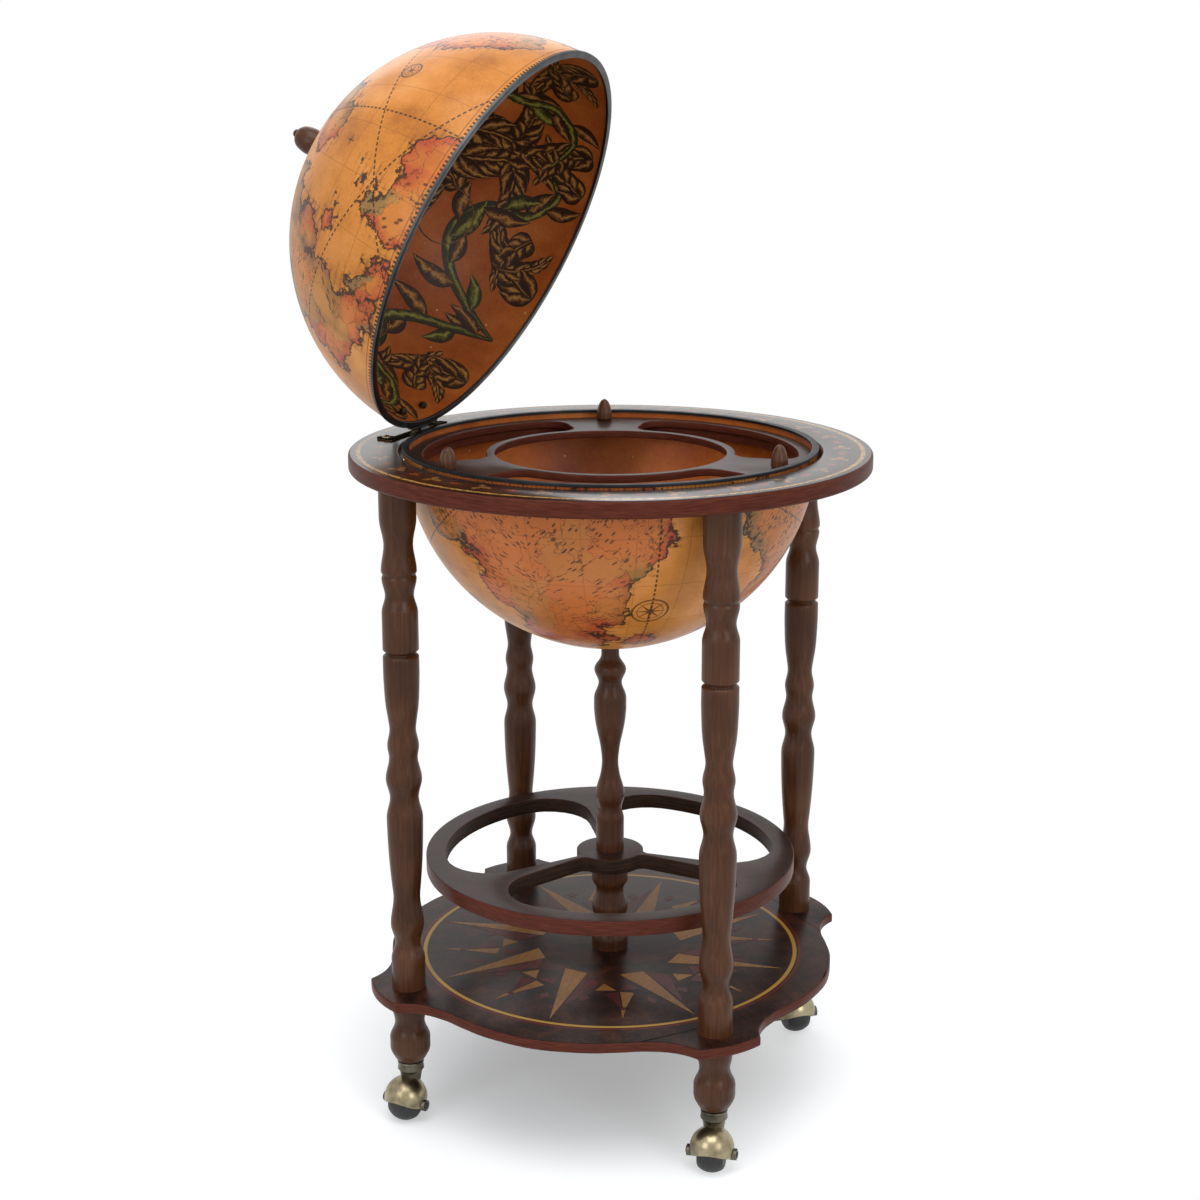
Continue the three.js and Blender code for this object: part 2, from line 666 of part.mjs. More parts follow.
// Tray with three slots and a finger knob on each spoke; it lifts out
const tray = new THREE.Group();
tray.position.z = trayUnderside;
globeBar.add(tray);
const knobCircle = trayRadius - trayKnobInset;
const knobPlaces = spokeTurns.map((turn) => [
	knobCircle * Math.cos(turn + trayTurn), knobCircle * Math.sin(turn + trayTurn)]);
const slots = openingTurns.map((turn) => sector(turn + trayTurn, slotHalfAngle, trayHoleRadius + trayLand,
	trayRadius - trayRim, slotCorner, slotCorner, cornerSteps + 1));
addPiece(tray, 'glass_tray', board(circle(0, 0, trayRadius, globeSides), [
	circle(0, 0, trayHoleRadius, globeSides / 2), ...slots,
	...knobPlaces.map(([x, y]) => circle(x, y, trayPegRadius + seatGap, boreSides)),
], trayThickness), darkBoard);
const trayKnobOutline = [
	[0, -trayPegHeight], [trayPegRadius, -trayPegHeight], [trayPegRadius, 0],
	...turnedOutline(trayKnobShares, trayKnobRadius, trayKnobHeight),
];
['front', 'right', 'left'].forEach((side, index) => {
	addPiece(tray, `tray_knob_${side}`, lathe(trayKnobOutline, boreSides), walnut)
		.position.set(...knobPlaces[index], trayThickness);
});

// Lid: everything on it is drawn closed, then turned open about the hinge pin
const hinge = new THREE.Group();
hinge.position.set(0, hingeY, hingeZ);
hinge.rotation.x = -openAngle;
globeBar.add(hinge);
const lid = new THREE.Group();
lid.position.set(0, -hingeY, splitHeight - hingeZ);
hinge.add(lid);
const pinHeight = hingeZ - splitHeight;

const lidBoltElevation = Math.asin(lidBoltRise / globeRadius);
const lidBoltDirections = [-lidBoltTurn, lidBoltTurn].map((turn) => new THREE.Vector3(
	Math.sin(turn) * Math.cos(lidBoltElevation), Math.cos(turn) * Math.cos(lidBoltElevation),
	Math.sin(lidBoltElevation)));
const outwardsFromZ = (direction) =>
	new THREE.Quaternion().setFromUnitVectors(new THREE.Vector3(0, 0, 1), direction);
const lidBoltHoles = () => lidBoltDirections.map((direction) => {
	const hole = rod(lidBoltRadius + seatGap, leafOuter + overrun, boreSides);
	hole.applyQuaternion(outwardsFromZ(direction));
	return hole;
});

addPiece(lid, 'lid_shell', cut(dome(knobScrewRadius + seatGap), ...lidBoltHoles()), mapPaper);
addPiece(lid, 'lid_rim_band', rimBand(), bronzedSteel);

// Knob and its screw from inside
const knobBore = knobScrewRadius + holeGap;
addPiece(lid, 'lid_knob', lathe([
	[0, knobScrewReach + seatGap], [knobBore, knobScrewReach + seatGap], [knobBore, 0],
	...turnedOutline(knobShares, knobRadius, knobHeight),
], pillarSides), walnut).position.z = globeRadius + seatGap;
const screwSeat = innerRadius - poleSeatGap;
const screwTip = globeRadius + knobScrewReach;
addPiece(lid, 'lid_knob_screw', lathe([
	[0, screwSeat - screwHeadHeight],
	...turnedOutline(roundHeadShares, screwHeadRadius, screwHeadHeight).reverse().slice(1)
		.map(([radius, height]) => [radius, screwSeat - height]),
	[knobScrewRadius, screwSeat], [knobScrewRadius, screwTip], [0, screwTip],
], boreSides), zincSteel);

// Hinge leaf on the lid: a curved plate that steps over the rim band, with the middle knuckle
function upperLeaf() {
	const bandTop = bandEdge + bandHeight + seatGap;
	const coverInner = bandOuter + seatGap;
	const coverOuter = coverInner + leafThickness;
	const sweep = (radius, low, high) =>
		arc(0, 0, radius, Math.asin(low / radius), Math.asin(high / radius), cornerSteps)
			.map((point) => point.toArray());
	const plate = ringLathe([
		[coverInner, bandEdge], [coverOuter, bandEdge], [coverOuter, bandTop],
		...sweep(leafOuter, bandTop + leafThickness, upperLeafHeight),
		...sweep(leafInner, bandTop, upperLeafHeight).reverse(), [coverInner, bandTop],
	], leafSides);
	const window = block([-upperLeafHalfWidth, 0, 0],
		[upperLeafHalfWidth, coverOuter + overrun, upperLeafHeight + overrun]);
	const endLength = upperLeafHalfWidth - middleKnuckleHalf + overrun;
	const clearings = [-1, 1].map((way) => {
		const room = crossRod(barrelRadius + barrelGap, endLength, pillarSides);
		room.translate(way * (middleKnuckleHalf + endLength / 2), hingeY, pinHeight);
		return room;
	});
	const knuckle = crossRod(barrelRadius, 2 * middleKnuckleHalf, pillarSides);
	knuckle.translate(0, hingeY, pinHeight);
	const tabUnderside = ringTop + leafThickness + seatGap - hingeZ;
	const stopTab = block([-stopTabHalfWidth, barrelRadius / 2, tabUnderside],
		[stopTabHalfWidth, stopTabReach, tabUnderside + leafThickness]);
	stopTab.rotateX(openAngle);
	stopTab.translate(0, hingeY, pinHeight);
	const pinHole = crossRod(pinRadius + seatGap, 2 * (middleKnuckleHalf + overrun), boreSides);
	pinHole.translate(0, hingeY, pinHeight);
	const curved = cut(common(plate, window), ...clearings, ...lidBoltHoles());
	return cut(join(curved, knuckle, stopTab), pinHole);
}
addPiece(lid, 'hinge_upper_leaf', upperLeaf(), bronzedSteel);

// Cap bolts through leaf and lid, with a nut inside each
const capSeat = leafOuter + seatGap;
const lidBoltEnd = lidNutSeat - lidNutHeight - lidBoltOverNut;
const lidBoltOutline = [
	[0, lidBoltEnd], [lidBoltRadius, lidBoltEnd], [lidBoltRadius, capSeat],
	...turnedOutline(capShares, lidBoltCapRadius, lidBoltCapHeight)
		.map(([radius, height]) => [radius, capSeat + height]),
];
const lidNutOutline = [
	[lidBoltRadius + seatGap, lidNutSeat - lidNutHeight], [lidNutRadius, lidNutSeat - lidNutHeight],
	[lidNutRadius, lidNutSeat], [lidBoltRadius + seatGap, lidNutSeat],
];
['left', 'right'].forEach((side, index) => {
	const facing = outwardsFromZ(lidBoltDirections[index]);
	addPiece(lid, `lid_bolt_${side}`, lathe(lidBoltOutline, boreSides), antiqueBrass)
		.quaternion.copy(facing);
	addPiece(lid, `lid_nut_${side}`, ringLathe(lidNutOutline, boreSides), bronzedSteel)
		.quaternion.copy(facing);
});

// Hinge leaf on the ring: a strip with the outer knuckles and a scalloped foot at each end
function leafFoot(x) {
	const foot = new THREE.Shape();
	const [shoulder, notch, flare, lobe, dip, crown] = scallopShares
		.map(([acrossShare, alongShare]) => [leafFootHalfWidth * acrossShare, leafFootReach * alongShare]);
	foot.moveTo(-leafFootHalfWidth, 0);
	foot.lineTo(leafFootHalfWidth, 0);
	foot.lineTo(...shoulder);
	foot.quadraticCurveTo(...notch, ...flare);
	foot.quadraticCurveTo(...lobe, ...dip);
	foot.quadraticCurveTo(...crown, 0, leafFootReach);
	foot.quadraticCurveTo(-crown[0], crown[1], -dip[0], dip[1]);
	foot.quadraticCurveTo(-lobe[0], lobe[1], -flare[0], flare[1]);
	foot.quadraticCurveTo(-notch[0], notch[1], -shoulder[0], shoulder[1]);
	const plate = new THREE.ExtrudeGeometry(foot, {
		depth: leafThickness, bevelEnabled: false, curveSegments: cornerSteps - 1,
	});
	plate.translate(x, stripInner, 0);
	return plate;
}

function lowerLeaf() {
	const stripEnd = leafFootSpread + leafFootHalfWidth;
	const strip = block([-stripEnd, stripInner, 0], [stripEnd, stripInner + stripWidth, leafThickness]);
	const knuckleHalf = (barrelHalfLength - middleKnuckleHalf - seatGap) / 2;
	const knuckleMiddle = middleKnuckleHalf + seatGap + knuckleHalf;
	const knuckles = [-1, 1].flatMap((way) => {
		const barrel = crossRod(barrelRadius, 2 * knuckleHalf, pillarSides);
		barrel.translate(way * knuckleMiddle, hingeY, hingeZ - ringTop);
		const web = block([way * knuckleMiddle - knuckleHalf, hingeY, 0],
			[way * knuckleMiddle + knuckleHalf, stripInner + leafThickness, leafThickness]);
		return [barrel, web];
	});
	const pinHole = crossRod(pinRadius + seatGap, 2 * (barrelHalfLength + overrun), boreSides);
	pinHole.translate(0, hingeY, hingeZ - ringTop);
	const screwHoles = [-leafFootSpread, leafFootSpread].map((x) => {
		const hole = rod(leafScrewRadius + seatGap, leafThickness + 2 * overrun, boreSides);
		hole.translate(x, stripInner + leafScrewInset, -overrun);
		return hole;
	});
	const whole = join(strip, leafFoot(-leafFootSpread), leafFoot(leafFootSpread), ...knuckles);
	return cut(whole, pinHole, ...screwHoles);
}
addPiece(globeBar, 'hinge_lower_leaf', lowerLeaf(), antiqueBrass).position.z = ringTop;
addPiece(globeBar, 'hinge_pin', crossRod(pinRadius, 2 * barrelHalfLength, boreSides), bronzedSteel)
	.position.set(0, hingeY, hingeZ);
const leafScrewOutline = [
	[0, -leafScrewReach], [leafScrewRadius, -leafScrewReach], [leafScrewRadius, 0],
	...turnedOutline(roundHeadShares, leafScrewHeadRadius, leafScrewHeadHeight),
];
['left', 'right'].forEach((side, index) => {
	const x = [-leafFootSpread, leafFootSpread][index];
	addPiece(globeBar, `hinge_screw_${side}`, lathe(leafScrewOutline, boreSides), antiqueBrass)
		.position.set(x, stripInner + leafScrewInset, ringTop + leafThickness);
});

// The origin lies on the floor, under the middle of the whole outline
const outlineBox = new THREE.Box3().setFromObject(globeBar, true);
const outlineMiddle = outlineBox.getCenter(new THREE.Vector3());
globeBar.position.set(-outlineMiddle.x, -outlineMiddle.y, 0);

export default globeBar;
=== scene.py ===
# Looks of a floor globe bar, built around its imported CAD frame.
# Metres, Z up, the hinge on the +Y side; sizes in the dictionaries are millimetres.
import json
import math

import bpy
from mathutils import Matrix, Vector

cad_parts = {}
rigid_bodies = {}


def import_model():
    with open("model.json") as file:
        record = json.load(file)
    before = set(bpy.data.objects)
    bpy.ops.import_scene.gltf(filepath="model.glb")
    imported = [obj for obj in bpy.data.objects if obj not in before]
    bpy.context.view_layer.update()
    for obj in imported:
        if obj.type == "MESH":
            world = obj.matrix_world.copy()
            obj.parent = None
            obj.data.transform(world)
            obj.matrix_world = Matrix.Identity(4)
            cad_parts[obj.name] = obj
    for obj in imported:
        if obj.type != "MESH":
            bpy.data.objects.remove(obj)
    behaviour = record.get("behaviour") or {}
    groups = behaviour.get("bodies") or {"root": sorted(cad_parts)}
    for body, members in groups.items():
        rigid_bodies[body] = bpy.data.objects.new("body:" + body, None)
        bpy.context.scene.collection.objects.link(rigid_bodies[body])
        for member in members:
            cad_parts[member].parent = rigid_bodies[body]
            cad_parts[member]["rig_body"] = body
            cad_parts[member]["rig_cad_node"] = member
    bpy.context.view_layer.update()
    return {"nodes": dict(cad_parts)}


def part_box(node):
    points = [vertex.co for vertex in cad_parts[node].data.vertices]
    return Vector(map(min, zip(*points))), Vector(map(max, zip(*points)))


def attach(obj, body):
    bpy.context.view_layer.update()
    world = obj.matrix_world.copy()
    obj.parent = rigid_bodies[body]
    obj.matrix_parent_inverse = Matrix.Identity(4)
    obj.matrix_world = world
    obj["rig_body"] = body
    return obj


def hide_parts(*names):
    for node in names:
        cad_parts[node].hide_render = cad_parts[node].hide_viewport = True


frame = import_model()
bpy.ops.object.select_all(action='DESELECT')
print("frame loaded")

mm = 0.001
fullTurn = 2 * math.pi

globeBar = {
    "globeY": -44.0767,  # the globe's axis; the origin is under the middle of the whole outline
    "globeRadius": 195.5, "globeWall": 4, "splitHeight": 649, "wallEdge": 1.7,
    "hingeY": 156.1233, "hingeZ": 648.3, "openAngle": 65,
    "legCircle": 216.6, "legTurn": 4.5, "ringUnderside": 629,
    "shelfTop": 136, "shelfUnderside": 126, "casterHeight": 60.5,
}
corners = {
    "back_right": {"turn": 45, "casterTurn": 62},
    "back_left": {"turn": 135, "casterTurn": 85},
    "front_left": {"turn": 225, "casterTurn": 101},
    "front_right": {"turn": 315, "casterTurn": 130},
}
globeCentre = Vector((0, globeBar["globeY"], globeBar["splitHeight"])) * mm
hingePoint = Vector((0, globeBar["hingeY"], globeBar["hingeZ"])) * mm
openTurn = math.radians(-globeBar["openAngle"])
# closed lid, its centre at the origin, to where it stands open
lidPlace = (Matrix.Translation(hingePoint) @ Matrix.Rotation(openTurn, 4, 'X')
            @ Matrix.Translation(globeCentre - hingePoint))
bowlPlace = Matrix.Translation(globeCentre)
axisPlace = Matrix.Translation((0, globeBar["globeY"] * mm, 0))
standPlace = axisPlace @ Matrix.Rotation(math.radians(globeBar["legTurn"]), 4, 'Z')


# Modelling helpers

def takeUp(*pieces):
    bpy.ops.object.select_all(action='DESELECT')
    for piece in pieces:
        piece.select_set(True)
    bpy.context.view_layer.objects.active = pieces[0]


def settle(piece, place):
    # puts the piece in its place and works that place into its mesh
    piece.matrix_world = place
    takeUp(piece)
    bpy.ops.object.transform_apply(location=True, rotation=True, scale=True)
    return piece


def raised(place, height):
    # the place moved up its own axis, height in mm
    return place @ Matrix.Translation((0, 0, height * mm))


def copyOf(piece, name, place):
    takeUp(piece)
    bpy.ops.object.duplicate()
    copy = bpy.context.object
    copy.name = name
    return settle(copy, place)


def drop(piece):
    bpy.data.objects.remove(piece)


def modify(piece, kind, **settings):
    takeUp(piece)
    modifier = piece.modifiers.new(kind.title(), kind)
    for name, value in settings.items():
        setattr(modifier, name, value)
    bpy.ops.object.modifier_apply(modifier=modifier.name)


def roundEdges(piece, width, angle, segments=2, **settings):
    # rounds every edge that turns by more than the angle, width in mm
    modify(piece, 'BEVEL', width=width * mm, segments=segments, limit_method='ANGLE',
           angle_limit=math.radians(angle), **settings)


def smooth(piece, angle=35):
    takeUp(piece)
    bpy.ops.object.shade_smooth_by_angle(angle=math.radians(angle))
    return piece


def joined(name, *pieces):
    takeUp(*pieces)
    bpy.ops.object.join()
    bpy.context.object.name = name
    return bpy.context.object


def easedOutline(shares, radius, height, steps=5):
    # share of height and share of radius, joined by curves that are level at each bead and cove
    rises = [(b[1] - a[1]) / (b[0] - a[0]) for a, b in zip(shares, shares[1:])]
    slopes = []
    for index in range(len(shares)):
        near = rises[max(index - 1, 0):index + 1]
        product = near[0] * near[-1]
        slopes.append(2 * product / sum(near) if len(near) > 1 and product > 0 else 0)
    points = []
    for index, ((h0, r0), (h1, r1)) in enumerate(zip(shares, shares[1:])):
        span = h1 - h0
        for step in range(steps):
            t = step / steps
            share = ((1 + 2 * t) * (1 - t) ** 2 * r0 + t * (1 - t) ** 2 * span * slopes[index]
                     + t * t * (3 - 2 * t) * r1 + t * t * (t - 1) * span * slopes[index + 1])
            points.append((radius * share, height * (h0 + span * t)))
    points.append((radius * shares[-1][1], height * shares[-1][0]))
    return points


def turnPiece(name, outline, steps=64):
    # an outline of radius and height in mm, spun about the Z axis as on a lathe
    bpy.ops.object.select_all(action='DESELECT')
    bpy.ops.mesh.primitive_plane_add(size=mm, location=(0, 0, 0))
    piece = bpy.context.object
    piece.name = name
    bpy.ops.object.mode_set(mode='EDIT')
    bpy.ops.mesh.merge(type='CENTER')
    radius, height = outline[0]
    bpy.ops.transform.translate(value=(radius * mm, 0, height * mm))
    for (r0, h0), (r1, h1) in zip(outline, outline[1:]):
        move = ((r1 - r0) * mm, 0, (h1 - h0) * mm)
        bpy.ops.mesh.extrude_region_move(TRANSFORM_OT_translate={"value": move})
    bpy.ops.mesh.select_all(action='SELECT')
    bpy.ops.mesh.spin(steps=steps, angle=fullTurn, center=(0, 0, 0), axis=(0, 0, 1))
    bpy.ops.mesh.select_all(action='SELECT')
    bpy.ops.mesh.remove_doubles(threshold=0.002 * mm)  # closes the seam and the poles
    bpy.ops.mesh.normals_make_consistent(inside=False)
    bpy.ops.object.mode_set(mode='OBJECT')
    return smooth(piece)


def closedOutline(outline):
    return outline + outline[:1]


def roundedCorner(centre, radius, start, end, steps=4):
    turns = [math.radians(start + (end - start) * step / steps) for step in range(steps + 1)]
    return [(centre[0] + radius * math.cos(turn), centre[1] + radius * math.sin(turn))
            for turn in turns]


def roundedPoint(x, y, radius, start):
    # a square corner of an outline, rounded; start is where its quarter turn begins
    right = -1 if start in (0, 270) else 1
    up = -1 if start in (0, 90) else 1
    return roundedCorner((x + right * radius, y + up * radius), radius, start, start + 90)


def flatShape(outline, fill='NOTHING'):
    # a flat outline in mm, open or as one face
    bpy.ops.object.select_all(action='DESELECT')
    bpy.ops.mesh.primitive_circle_add(vertices=len(outline), radius=1, fill_type=fill)
    shape = bpy.context.object
    for vertex, (x, y) in zip(shape.data.vertices, outline):
        vertex.co = (x * mm, y * mm, 0)
    return shape


def drawUp(height):
    # draws the faces selected in edit mode up into a closed block, height in mm
    bpy.ops.mesh.extrude_region_move(TRANSFORM_OT_translate={"value": (0, 0, height * mm)})
    bpy.ops.mesh.select_all(action='SELECT')
    bpy.ops.mesh.normals_make_consistent(inside=False)
    bpy.ops.object.mode_set(mode='OBJECT')


def boardPiece(name, outlines, thickness, edge):
    # flat outlines in mm, the first the rim and the others holes; edge is the rounding
    loops = [flatShape(outline) for outline in outlines]
    piece = joined(name, *loops) if len(loops) > 1 else loops[0]
    piece.name = name
    takeUp(piece)
    bpy.ops.object.mode_set(mode='EDIT')
    bpy.ops.mesh.select_all(action='SELECT')
    bpy.ops.mesh.fill(use_beauty=True)
    drawUp(thickness)
    roundEdges(piece, edge, 60, 3, use_clamp_overlap=False)
    return smooth(piece, 40)


def circleOutline(radius, steps):
    turns = [fullTurn * step / steps for step in range(steps)]
    return [(radius * math.cos(turn), radius * math.sin(turn)) for turn in turns]


def sectorOutline(turn, sizes, steps=28, bend=8):
    # an opening shaped as a piece of a ring, bend being the steps in each of its rounded corners
    inner, outer, halfAngle = sizes["inner"], sizes["outer"], sizes["halfAngle"]
    innerCorner, outerCorner = sizes["innerCorner"], sizes["outerCorner"]
    innerReach, outerReach = inner + innerCorner, outer - outerCorner
    innerSpan = halfAngle - math.degrees(math.asin(innerCorner / innerReach))
    outerSpan = halfAngle - math.degrees(math.asin(outerCorner / outerReach))

    def arc(radius, start, end, steps, reach=0, span=0):
        at = math.radians(turn + span)
        centre = (reach * math.cos(at), reach * math.sin(at))
        return roundedCorner(centre, radius, turn + start, turn + end, steps)[:-1]

    return (arc(outer, -outerSpan, outerSpan, steps)
            + arc(outerCorner, outerSpan, halfAngle + 90, bend, outerReach, outerSpan)
            + arc(innerCorner, halfAngle + 90, innerSpan + 180, bend, innerReach, innerSpan)
            + arc(inner, innerSpan, -innerSpan, steps // 2)
            + arc(innerCorner, -innerSpan - 180, -halfAngle - 90, bend, innerReach, -innerSpan)
            + arc(outerCorner, -halfAngle - 90, -outerSpan, bend, outerReach, -outerSpan))


def fromCad(name, node, edge):
    # a copy of a CAD node with its edges broken
    takeUp(frame["nodes"][node])
    bpy.ops.object.duplicate()
    piece = bpy.context.object
    piece.name = name
    piece.parent = None
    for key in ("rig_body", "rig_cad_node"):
        if key in piece:
            del piece[key]
    piece.data.materials.clear()
    bpy.ops.object.mode_set(mode='EDIT')
    bpy.ops.mesh.select_all(action='SELECT')
    bpy.ops.mesh.remove_doubles(threshold=0.01 * mm)
    bpy.ops.mesh.dissolve_limited(angle_limit=math.radians(1))
    bpy.ops.object.mode_set(mode='OBJECT')
    roundEdges(piece, edge, 40)
    return smooth(piece, 45)


def paintSome(piece, chosen):
    # the piece's second material goes on the chosen faces
    for face in piece.data.polygons:
        if chosen(face):
            face.material_index = 1


def finishPiece(piece, body, slot, materials, *nodes):
    piece.data.materials.clear()
    for material in materials:
        piece.data.materials.append(material)
    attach(piece, body)
    if nodes:
        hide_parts(*nodes)
    return piece


# Material helpers

def hexColour(code):
    channels = [int(code[at:at + 2], 16) / 255 for at in (0, 2, 4)]
    linear = [c / 12.92 if c <= 0.04045 else ((c + 0.055) / 1.055) ** 2.4 for c in channels]
    return (*linear, 1)


def startMaterial(name):
    # a new material, its node tree and the place on the object in metres
    material = bpy.data.materials.new(name)
    material.use_nodes = True
    tree = material.node_tree
    tree.nodes.clear()
    return material, tree, add(tree, "TexCoord").outputs["Object"]


def add(tree, kind, inputs=(), stops=None, **settings):
    # one node with its settings; inputs by number or name are values, nodes or sockets
    made = tree.nodes.new("ShaderNode" + kind)
    for name, value in settings.items():
        setattr(made, name, value)
    for key, value in (inputs.items() if isinstance(inputs, dict) else enumerate(inputs)):
        if isinstance(value, bpy.types.Node):
            value = value.outputs[0]
        if isinstance(value, bpy.types.NodeSocket):
            tree.links.new(value, made.inputs[key])
        else:
            made.inputs[key].default_value = value
    if stops:
        ramp = made.color_ramp
        while len(ramp.elements) < len(stops):
            ramp.elements.new(1)
        for element, (position, code) in zip(ramp.elements, stops):
            element.position = position
            element.color = hexColour(code)
    return made


def finishMaterial(tree, colour, bump, values):
    # the principled shader, values on its own sockets; bump is a height and its depth in metres
    if bump:
        height, depth = bump
        values = {**values, "Normal": add(tree, "Bump", {"Distance": depth, "Height": height})}
    add(tree, "OutputMaterial", [add(tree, "BsdfPrincipled", {"Base Color": colour, **values})])


def within(tree, value, limit, soft, middle=None):
    # 1 where value is under limit, or lies no further than limit from middle
    if middle:
        value = add(tree, "Math", [value, middle], operation='SUBTRACT')
    if middle is not None:
        value = add(tree, "Math", [value], operation='ABSOLUTE')
    return add(tree, "MapRange", [value, limit + soft, limit])


def chained(tree, operation, masks):
    whole = masks[0]
    for mask in masks[1:]:
        whole = add(tree, "Math", [whole, mask], operation=operation)
    return whole


def both(tree, *masks):
    # 1 where all the masks are 1
    return chained(tree, 'MULTIPLY', masks)


def either(tree, *masks):
    # 1 where any of the masks is 1
    return chained(tree, 'MAXIMUM', masks)


def layOver(tree, colour, *layers):
    # lays inks, paints or patinas over a colour: each is a mask, its strength and its own colour
    for mask, strength, code in layers:
        colour = add(tree, "MixRGB", [both(tree, mask, strength), colour, hexColour(code)])
    return colour


def stretchedNoise(tree, place, scale, inputs):
    # noise drawn out into grain or plies; scale is how many to the metre along each axis
    along = add(tree, "Mapping", {"Vector": place, "Scale": scale})
    return add(tree, "TexNoise", {"Vector": along, "Scale": 1, **inputs})


# Materials

walnutFinish = {"stain": [(0, "3a2010"), (0.55, "4f2e1a"), (1, "5e3b24")],
                "grain": (420, 420, 14), "relief": 0.000012}  # pores 2 to 3 mm apart, 70 mm long


def stainedWalnut():
    # beech stained walnut, turned on a lathe and satin lacquered: long soft grain, coves darkened
    # by painted shade
    material, tree, place = startMaterial("stained walnut")
    streaks = stretchedNoise(tree, place, walnutFinish["grain"],
                             {"Detail": 5, "Roughness": 0.6, "Distortion": 0.6})
    blotches = add(tree, "TexNoise", {"Vector": place, "Scale": 18, "Detail": 2})  # 55 mm across
    mixed = add(tree, "Math", [streaks, blotches], operation='ADD')
    spread = add(tree, "MapRange", [mixed, 0.72, 1.28])
    stained = add(tree, "ValToRGB", [spread], stops=walnutFinish["stain"])
    # painted shade: pointiness darkens the coves, and lightens the sharp bead edges a little as
    # rubbed
    hollow = add(tree, "NewGeometry").outputs["Pointiness"]
    depth = add(tree, "MapRange", [hollow, 0.42, 0.56, 0.55, 1.12])
    shaded = add(tree, "VectorMath", {0: stained, "Scale": depth}, operation='SCALE')
    rough = add(tree, "MapRange", [streaks, 0, 1, 0.34, 0.4])
    finishMaterial(tree, shaded, (streaks, walnutFinish["relief"]), {
        "Roughness": rough, "Specular IOR Level": 0.18, "Coat Weight": 0.1, "Coat Roughness": 0.14})
    return material


walnut = stainedWalnut()

# roughness, specular level and coat of each lacquer
lacquers = {"gloss": (0.24, 0.28, 0.2), "satin": (0.34, 0.08, 0.03), "sprayed": (0.46, 0.05, 0.02)}


def lacquerOf(kind):
    roughness, specular, coat = lacquers[kind]
    return {"Roughness": roughness, "Specular IOR Level": specular, "Coat Weight": coat,
            "Coat Roughness": 0.12}


boardFinish = {
    "marble": [(0.3, "130907"), (0.46, "20110d"), (0.58, "321a12"), (0.72, "462618")],
    "vein": "5e3929", "plain": "3a2a24",
    "spray": [(0.3, "452016"), (0.55, "582b20"), (0.8, "663526")], "sprayRoughness": 0.4,
    "fibres": (60, 60, 900), "relief": 0.00003,  # pressed fibres lie flat, 1 mm apart
}


def lacqueredBoard(name, lacquer, paint=None, plain=0.0):
    # medium density board under dark printed marbling and lacquer, its edge sprayed red-brown
    material, tree, place = startMaterial(name)
    clouds = add(tree, "TexNoise", {"Vector": place, "Scale": 26, "Detail": 7, "Roughness": 0.62,
                                    "Distortion": 1.4})  # 40 mm across, the veins 17 mm
    veins = add(tree, "TexNoise", {"Vector": place, "Scale": 60, "Detail": 5, "Distortion": 2.2})
    marble = add(tree, "ValToRGB", [clouds], stops=boardFinish["marble"])
    veined = layOver(tree, marble, (within(tree, veins, 0, 0.02, 0.5), 0.3, boardFinish["vein"]))
    face = add(tree, "MixRGB", [plain, veined, hexColour(boardFinish["plain"])])
    if paint:
        face = paint(tree, place, face)
    fibres = stretchedNoise(tree, place, boardFinish["fibres"], {"Detail": 3})
    side = add(tree, "ValToRGB", [fibres], stops=boardFinish["spray"])
    up = add(tree, "SeparateXYZ", [add(tree, "NewGeometry").outputs["Normal"]]).outputs[2]
    level = add(tree, "Math", [up], operation='ABSOLUTE')
    isFace = add(tree, "MapRange", [level, 0.75, 0.9])
    colour = add(tree, "MixRGB", [isFace, side, face])
    rough = add(tree, "MapRange", [isFace, 0, 1, boardFinish["sprayRoughness"],
                                   lacquer["Roughness"]])
    finishMaterial(tree, colour, (fibres, boardFinish["relief"]), {**lacquer, "Roughness": rough})
    return material


board = lacqueredBoard("dark lacquered board", lacquerOf("satin"), plain=0.6)
boardEdge = lacqueredBoard("red-brown sprayed board edge", lacquerOf("sprayed"))


def cutEdge():
    # sawn edge of the openings, stained nearly black, its plies 1.4 mm thick just showing
    material, tree, place = startMaterial("dark stained sawn board edge")
    layers = stretchedNoise(tree, place, (40, 40, 700), {"Detail": 3})
    colour = add(tree, "ValToRGB", [layers], stops=[(0.35, "22160f"), (0.65, "3a271c")])
    finishMaterial(tree, colour, (layers, 0.00004), {"Roughness": 0.5, "Specular IOR Level": 0.12})
    return material


sawnEdge = cutEdge()


def axisPlan(tree, place):
    # the place in mm as seen from straight above the globe's axis, and its distance from there
    plan = add(tree, "Mapping", {"Vector": place, "Location": (0, -globeBar["globeY"], 0),
                                 "Scale": (1 / mm, 1 / mm, 0)})
    return plan, add(tree, "VectorMath", [plan], operation='LENGTH').outputs["Value"]


lineSoft = 0.5  # mm over which the edge of a painted line fades
ringPaint = {
    "line": 238, "lineHalf": 2.3, "lineGold": "bd924c",
    "signs": 24, "signRadius": 219, "signSize": 11, "signGold": "a0733a", "signRed": "8f3a20",
    "lozenge": (8.07, 4.22),  # half its width and half its height
}


